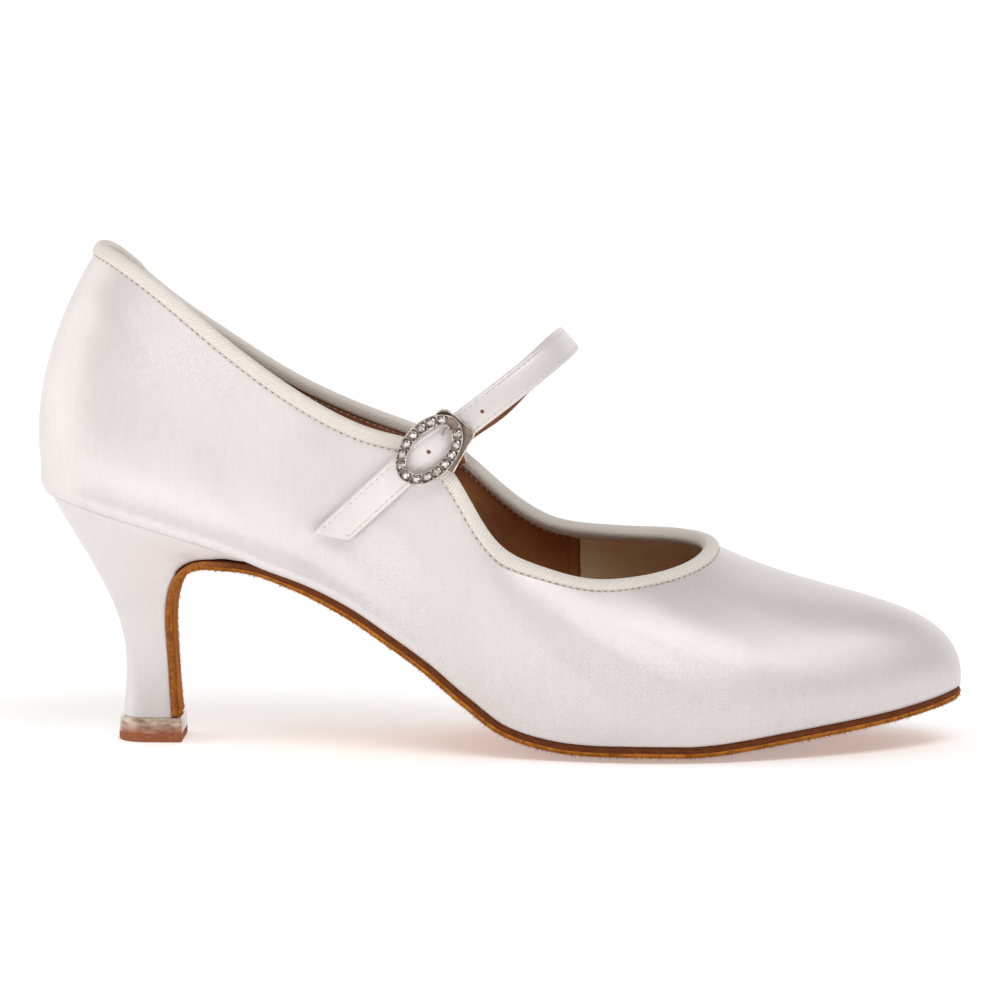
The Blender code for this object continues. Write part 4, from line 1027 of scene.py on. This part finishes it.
def sole_rows():
    """The sole from its toe to the foot of the heel: X, height, two sides, edge lift, thickness."""
    outer, inner, tip = edge_sides(0.45)
    leaves = 62.88  # where the sole leaves the seat and bends down the breast
    rows = []
    for x in (leaves + (tip - 0.1 - leaves) * np.sin(np.linspace(0, math.pi / 2, 110)))[::-1]:
        thin = max(0.0, 1 - (x - leaves) / 14.4)
        past = min(1.0, max(0.0, 1 - (tip - x) / 2.4))
        thick = (SOLE_THICKNESS - 0.5 * thin) * (0.35 + 0.65 * math.sqrt(1 - past**2))
        rise = edge_height(x) - GAP - sole_top(x)
        rows.append((x, sole_top(x), outer(x), inner(x), rise, thick))
    breast = spline(np.arange(len(HEEL_BREAST)), HEEL_BREAST)
    down = []
    for number in np.linspace(0, len(HEEL_BREAST) - 1, 60):
        x, z, half = breast(number)
        thick = SOLE_THICKNESS - 0.5 - 0.5 * min(1.0, number / 2)
        down.append((x + 0.05, z, -half, half, 0.0, thick))
    rows, down = np.array(rows), np.array(down)
    chord = down[0] - rows[-1]
    span = np.linalg.norm(chord[:2])
    leave, arrive = unit(rows[-1, :2] - rows[-4, :2]) * span, unit(down[3, :2] - down[0, :2]) * span
    bend = []
    for t in np.linspace(0, 1, 12)[1:-1]:
        row = rows[-1] + chord * t
        row[:2] = (
            rows[-1, :2] * (1 + 2 * t) * (1 - t) ** 2 + leave * t * (1 - t) ** 2
            + down[0, :2] * t**2 * (3 - 2 * t) + arrive * t**2 * (t - 1)
        )
        bend.append(row)
    return np.concatenate([rows, bend, down])


def on_buckle(u, v, h):
    """A point of the buckle, in metres, from mm along, across and out of it."""
    return (BUCKLE_AT + BUCKLE_LONG * u + BUCKLE_SHORT * v + BUCKLE_OUT * h) * MM


def buckle_oval(turn, grow=0.0):
    """The oval that the stones stand on, made larger by grow."""
    return (BUCKLE_OVAL[0] + grow) * np.cos(turn), (BUCKLE_OVAL[1] + grow) * np.sin(turn)


def stone_turns():
    """The turns of 32 points evenly spread round the oval."""
    fine = np.linspace(0, 2 * math.pi, 721)
    x, y = buckle_oval(fine)
    run = np.concatenate([[0], np.cumsum(np.hypot(np.diff(x), np.diff(y)))])
    return np.interp(np.arange(32) / 32 * run[-1], run, fine)


def make_sole(nap, edge):
    """One sole in a single length: a dark trimmed edge under the satin, raised nap along the bottom."""
    rows = sole_rows()
    way = unit(np.gradient(rows[:, :2], axis=0))
    down = np.stack([-way[:, 1], way[:, 0]], -1)
    side = [
        (0.0, 0.0), (0.0, 0.12), (0.02, 0.3), (0.05, 0.5), (0.2, 0.6), (0.12, 0.68), (0.1, 0.8), (0.3, 0.94),
        (0.9, 1.0),
    ]
    profile = [(0.0, v, 0.0) for v in (-0.6, -0.2, 0.2, 0.6)] + [(i, 1.0, d) for i, d in side]
    profile += [(0.0, v, 1.0) for v in (0.6, 0.2, -0.2, -0.6)] + [(i, -1.0, d) for i, d in side[::-1]]
    points = []
    for (x, z, left, right, rise, thick), low in zip(rows, down):
        ring = []
        for inset, v, drop in profile:
            y = (left + right) / 2 + (right - left) / 2 * v - math.copysign(inset, v) * (abs(v) == 1)
            lift = rise * max(0.0, (abs(v) - 0.6) / 0.4)
            ring.append((x + low[0] * thick * drop, y, z + low[1] * thick * drop + lift))
        points.append(ring)
    points = in_frame(np.array(points))
    points[..., 2] = np.maximum(points[..., 2], 0.0)
    piece = closed_ends(laid_grid("suede_sole", points, closed_across=True))
    dressed(piece, "suede", nap, edge, instead=["sole"])
    banded(piece, [0] * 3 + [1] * 5 + [0] * 13 + [1] * 5)
    make_fibres(points, nap)


def make_fibres(points, nap):
    """Loose fibres that stand out of the nap along both lower edges."""
    random = np.random.default_rng(7)
    spots, ways = [], []
    for steps, y_way in (((10, 11), 1.0), ((19, 18), -1.0)):
        for step in steps:
            spot, way = evenly(points[:, step], 0.00022)
            count = len(spot)
            spots.append(spot + random.normal(0, 0.00018, (count, 3)))
            ahead, aside = random.normal(0, 0.5, count), np.abs(random.normal(0.5, 0.3, count))
            ways.append(unit(np.stack([ahead, y_way * aside, random.normal(-0.5, 0.4, count)], -1)))
    spots, ways = np.concatenate(spots), np.concatenate(ways)
    spots[:, 2] = np.maximum(spots[:, 2], 0.0002)
    ways[spots[:, 2] < 0.001, 2] = np.abs(ways[spots[:, 2] < 0.001, 2]) * 0.1
    corners = np.array([(-0.2, 0.08, 0), (-0.2, -0.08, 0.0), (-0.2, 0, 0.11), (0.8, 0, 0.03)]) * MM
    tuft = corners, [(0, 2, 1), (0, 1, 3), (1, 2, 3), (2, 0, 3)]
    dressed(row_of_copies("sole_fibres", tuft, spots, unit(ways), np.array([0.3, 0.1, 0.9])), "suede", nap)


def make_heel(satin):
    """The satin heel cover, and the soft fold where the upper comes down on it."""
    piece = worked_copy("heel", "satin_heel")
    reaching(piece, -1)
    softened(piece, 0.6, 2, 50, 2)
    dressed(piece, "satin", satin, instead=["heel"])
    outer_side, inner_side = np.linspace(round_the_shoe(3.72), 0, 90), np.linspace(ROUND, round_the_shoe(25.42), 90)
    places = np.concatenate([outer_side, inner_side[1:]])
    row = section_at(places)
    out = outward(plan_way(places, 0))
    base = np.concatenate([row[:, :2], (edge_height(row[:, 0]) - 0.12)[:, None]], axis=1)
    turns = np.arange(10) * math.pi / 5
    fold = base[:, None] + out[:, None] * (-0.4 + 0.5 * np.cos(turns))[:, None]
    fold[..., 2] += 0.42 * np.sin(turns)
    dressed(closed_ends(laid_grid("seat_fold", in_frame(fold), closed_across=True)), "satin", satin)


def make_heel_tip(plastic, suede):
    """The clear cap, and the leather piece that meets the floor."""
    cap = worked_copy("heel_cap", "clear_cap")
    softened(cap, 0.5, 3, 35)
    dressed(cap, "clear_plastic", plastic, instead=["heel_cap"])
    lift = worked_copy("heel_lift", "suede_lift")
    reaching(lift, 1)
    softened(lift, 0.45, 3, 35)
    dressed(lift, "suede", suede, instead=["heel_lift"])


def make_insides(lining, leather):
    """The pad at the back of the collar, and the sock, which reaches the lining all round."""
    pad = worked_copy("heel_grip", "padded_grip")
    softened(pad, 0.4, 2, 50, 2)
    dressed(pad, "lining", lining, instead=["heel_grip"])
    sock = worked_copy("insole", "leather_sock")
    pushes = {}
    for side in sock.data.polygons:
        if abs(side.normal.z) < 0.5:
            for corner in side.vertices:
                pushes[corner] = pushes.get(corner, Vector((0, 0, 0))) + Vector((*side.normal.xy, 0))
    for corner, push in pushes.items():
        sock.data.vertices[corner].co += SOCK_REACH * MM * push.normalized()
    softened(sock, 0.5, 2, 50, 2)
    dressed(sock, "leather", leather, instead=["insole"])


def set_stage():
    """A pale sweep under soft studio light, brightest from above the front; the floor itself glows and lights the
    shoe from below.
    """
    nothing_selected()
    bpy.ops.mesh.primitive_grid_add(x_subdivisions=4, y_subdivisions=40, size=8)
    floor = bpy.context.object
    floor.name = floor.data.name = "floor"
    for vertex in floor.data.vertices:
        if vertex.co.y > 1.0:
            turn = min((vertex.co.y - 1.0) / 1.5, 1.0) * math.pi / 2
            past = max(vertex.co.y - 2.5, 0.0)
            vertex.co.y, vertex.co.z = 1.0 + math.sin(turn), 1 - math.cos(turn) + past
    floor.data.shade_smooth()
    made, tree = new_material("floor_white")
    # The floor glows: faintly under the shoe, more up the backdrop, and most in front of the shoe, where it lights
    # the shoe from below as a lamp would.
    behind = ranged(tree, position(tree, "Y"), 0.4, 1.8, 0.32, 0.65)
    before = ranged(tree, position(tree, "Y"), -0.05, -0.17, 0.0, 0.95)
    finished(
        made, [(noise(tree, coordinates(tree), 40, 2), 0.0005, 0.1)],
        Base_Color=(0.85, 0.85, 0.85), Roughness=0.9, Emission_Color=(1, 1, 1),
        Emission_Strength=reckoned(tree, "ADD", behind, before),
    )
    floor.data.materials.append(made)

    world = bpy.context.scene.world or bpy.data.worlds.new("studio")
    bpy.context.scene.world = world
    world.use_nodes = True
    sky = world.node_tree.nodes["Background"]
    sky.inputs["Color"].default_value = (1, 0.975, 0.985, 1)
    sky.inputs["Strength"].default_value = 0.32
    for name, place, width, height, power, colour in (
        ("key_light", (0.3, -0.66, 1.15), 1.4, 0.6, 9.6, (1, 1, 0.985)),
        ("left_light", (-1.1, 0.0, 0.4), 1.0, 1.0, 4.3, (1, 0.975, 0.90)),
    ):
        lamp = bpy.data.lights.new(name, "AREA")
        lamp.shape = "RECTANGLE"
        lamp.size, lamp.size_y = width, height
        lamp.energy, lamp.color = power, colour
        holder = placed(name, lamp)
        holder.location = place
        holder.rotation_euler = Vector(place).to_track_quat("Z", "Y").to_euler()
    bpy.context.scene.view_settings.view_transform = "Standard"


def set_camera():
    """The photograph's view: from a little over the floor, square to the outer side."""
    low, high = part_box("heel_cap")
    turn, lift = math.radians(1.5), math.radians(6.5)
    back = Vector((math.sin(turn) * math.cos(lift), -math.cos(turn) * math.cos(lift), math.sin(lift)))
    aim = Vector((-0.0001, (low[1] + high[1]) / 2, 0.06294))
    made = bpy.data.cameras.new("camera")
    made.lens, made.sensor_width = 159.0, 36
    camera = placed("camera", made)
    camera.location = aim + back * 1.150
    camera.rotation_euler = back.to_track_quat("Z", "Y").to_euler()
    bpy.context.scene.camera = camera


def main():
    satin, twill, thread, shadow = white_satin(), cream_twill(), cream_thread(), needle_shadow()
    leather, lining, nap, edge = brown_leather(), cream_lining(), raised_suede(), trimmed_edge()
    plastic, lift, glass = clear_plastic(), lift_leather(), cut_glass()
    silver, dark = aged_silver(), shade_darkened_silver()
    set_camera()
    set_stage()
    make_upper(satin, leather, lining)
    make_lining_seam(leather)
    make_binding(twill)
    make_topline_stitches(thread, shadow)
    make_strap(satin, leather, thread, shadow)
    make_buckle_frame(silver, dark)
    make_stones(glass, silver)
    make_keeper(silver, dark)
    make_sole(nap, edge)
    make_heel(satin)
    make_heel_tip(plastic, lift)
    make_insides(lining, leather)


main()
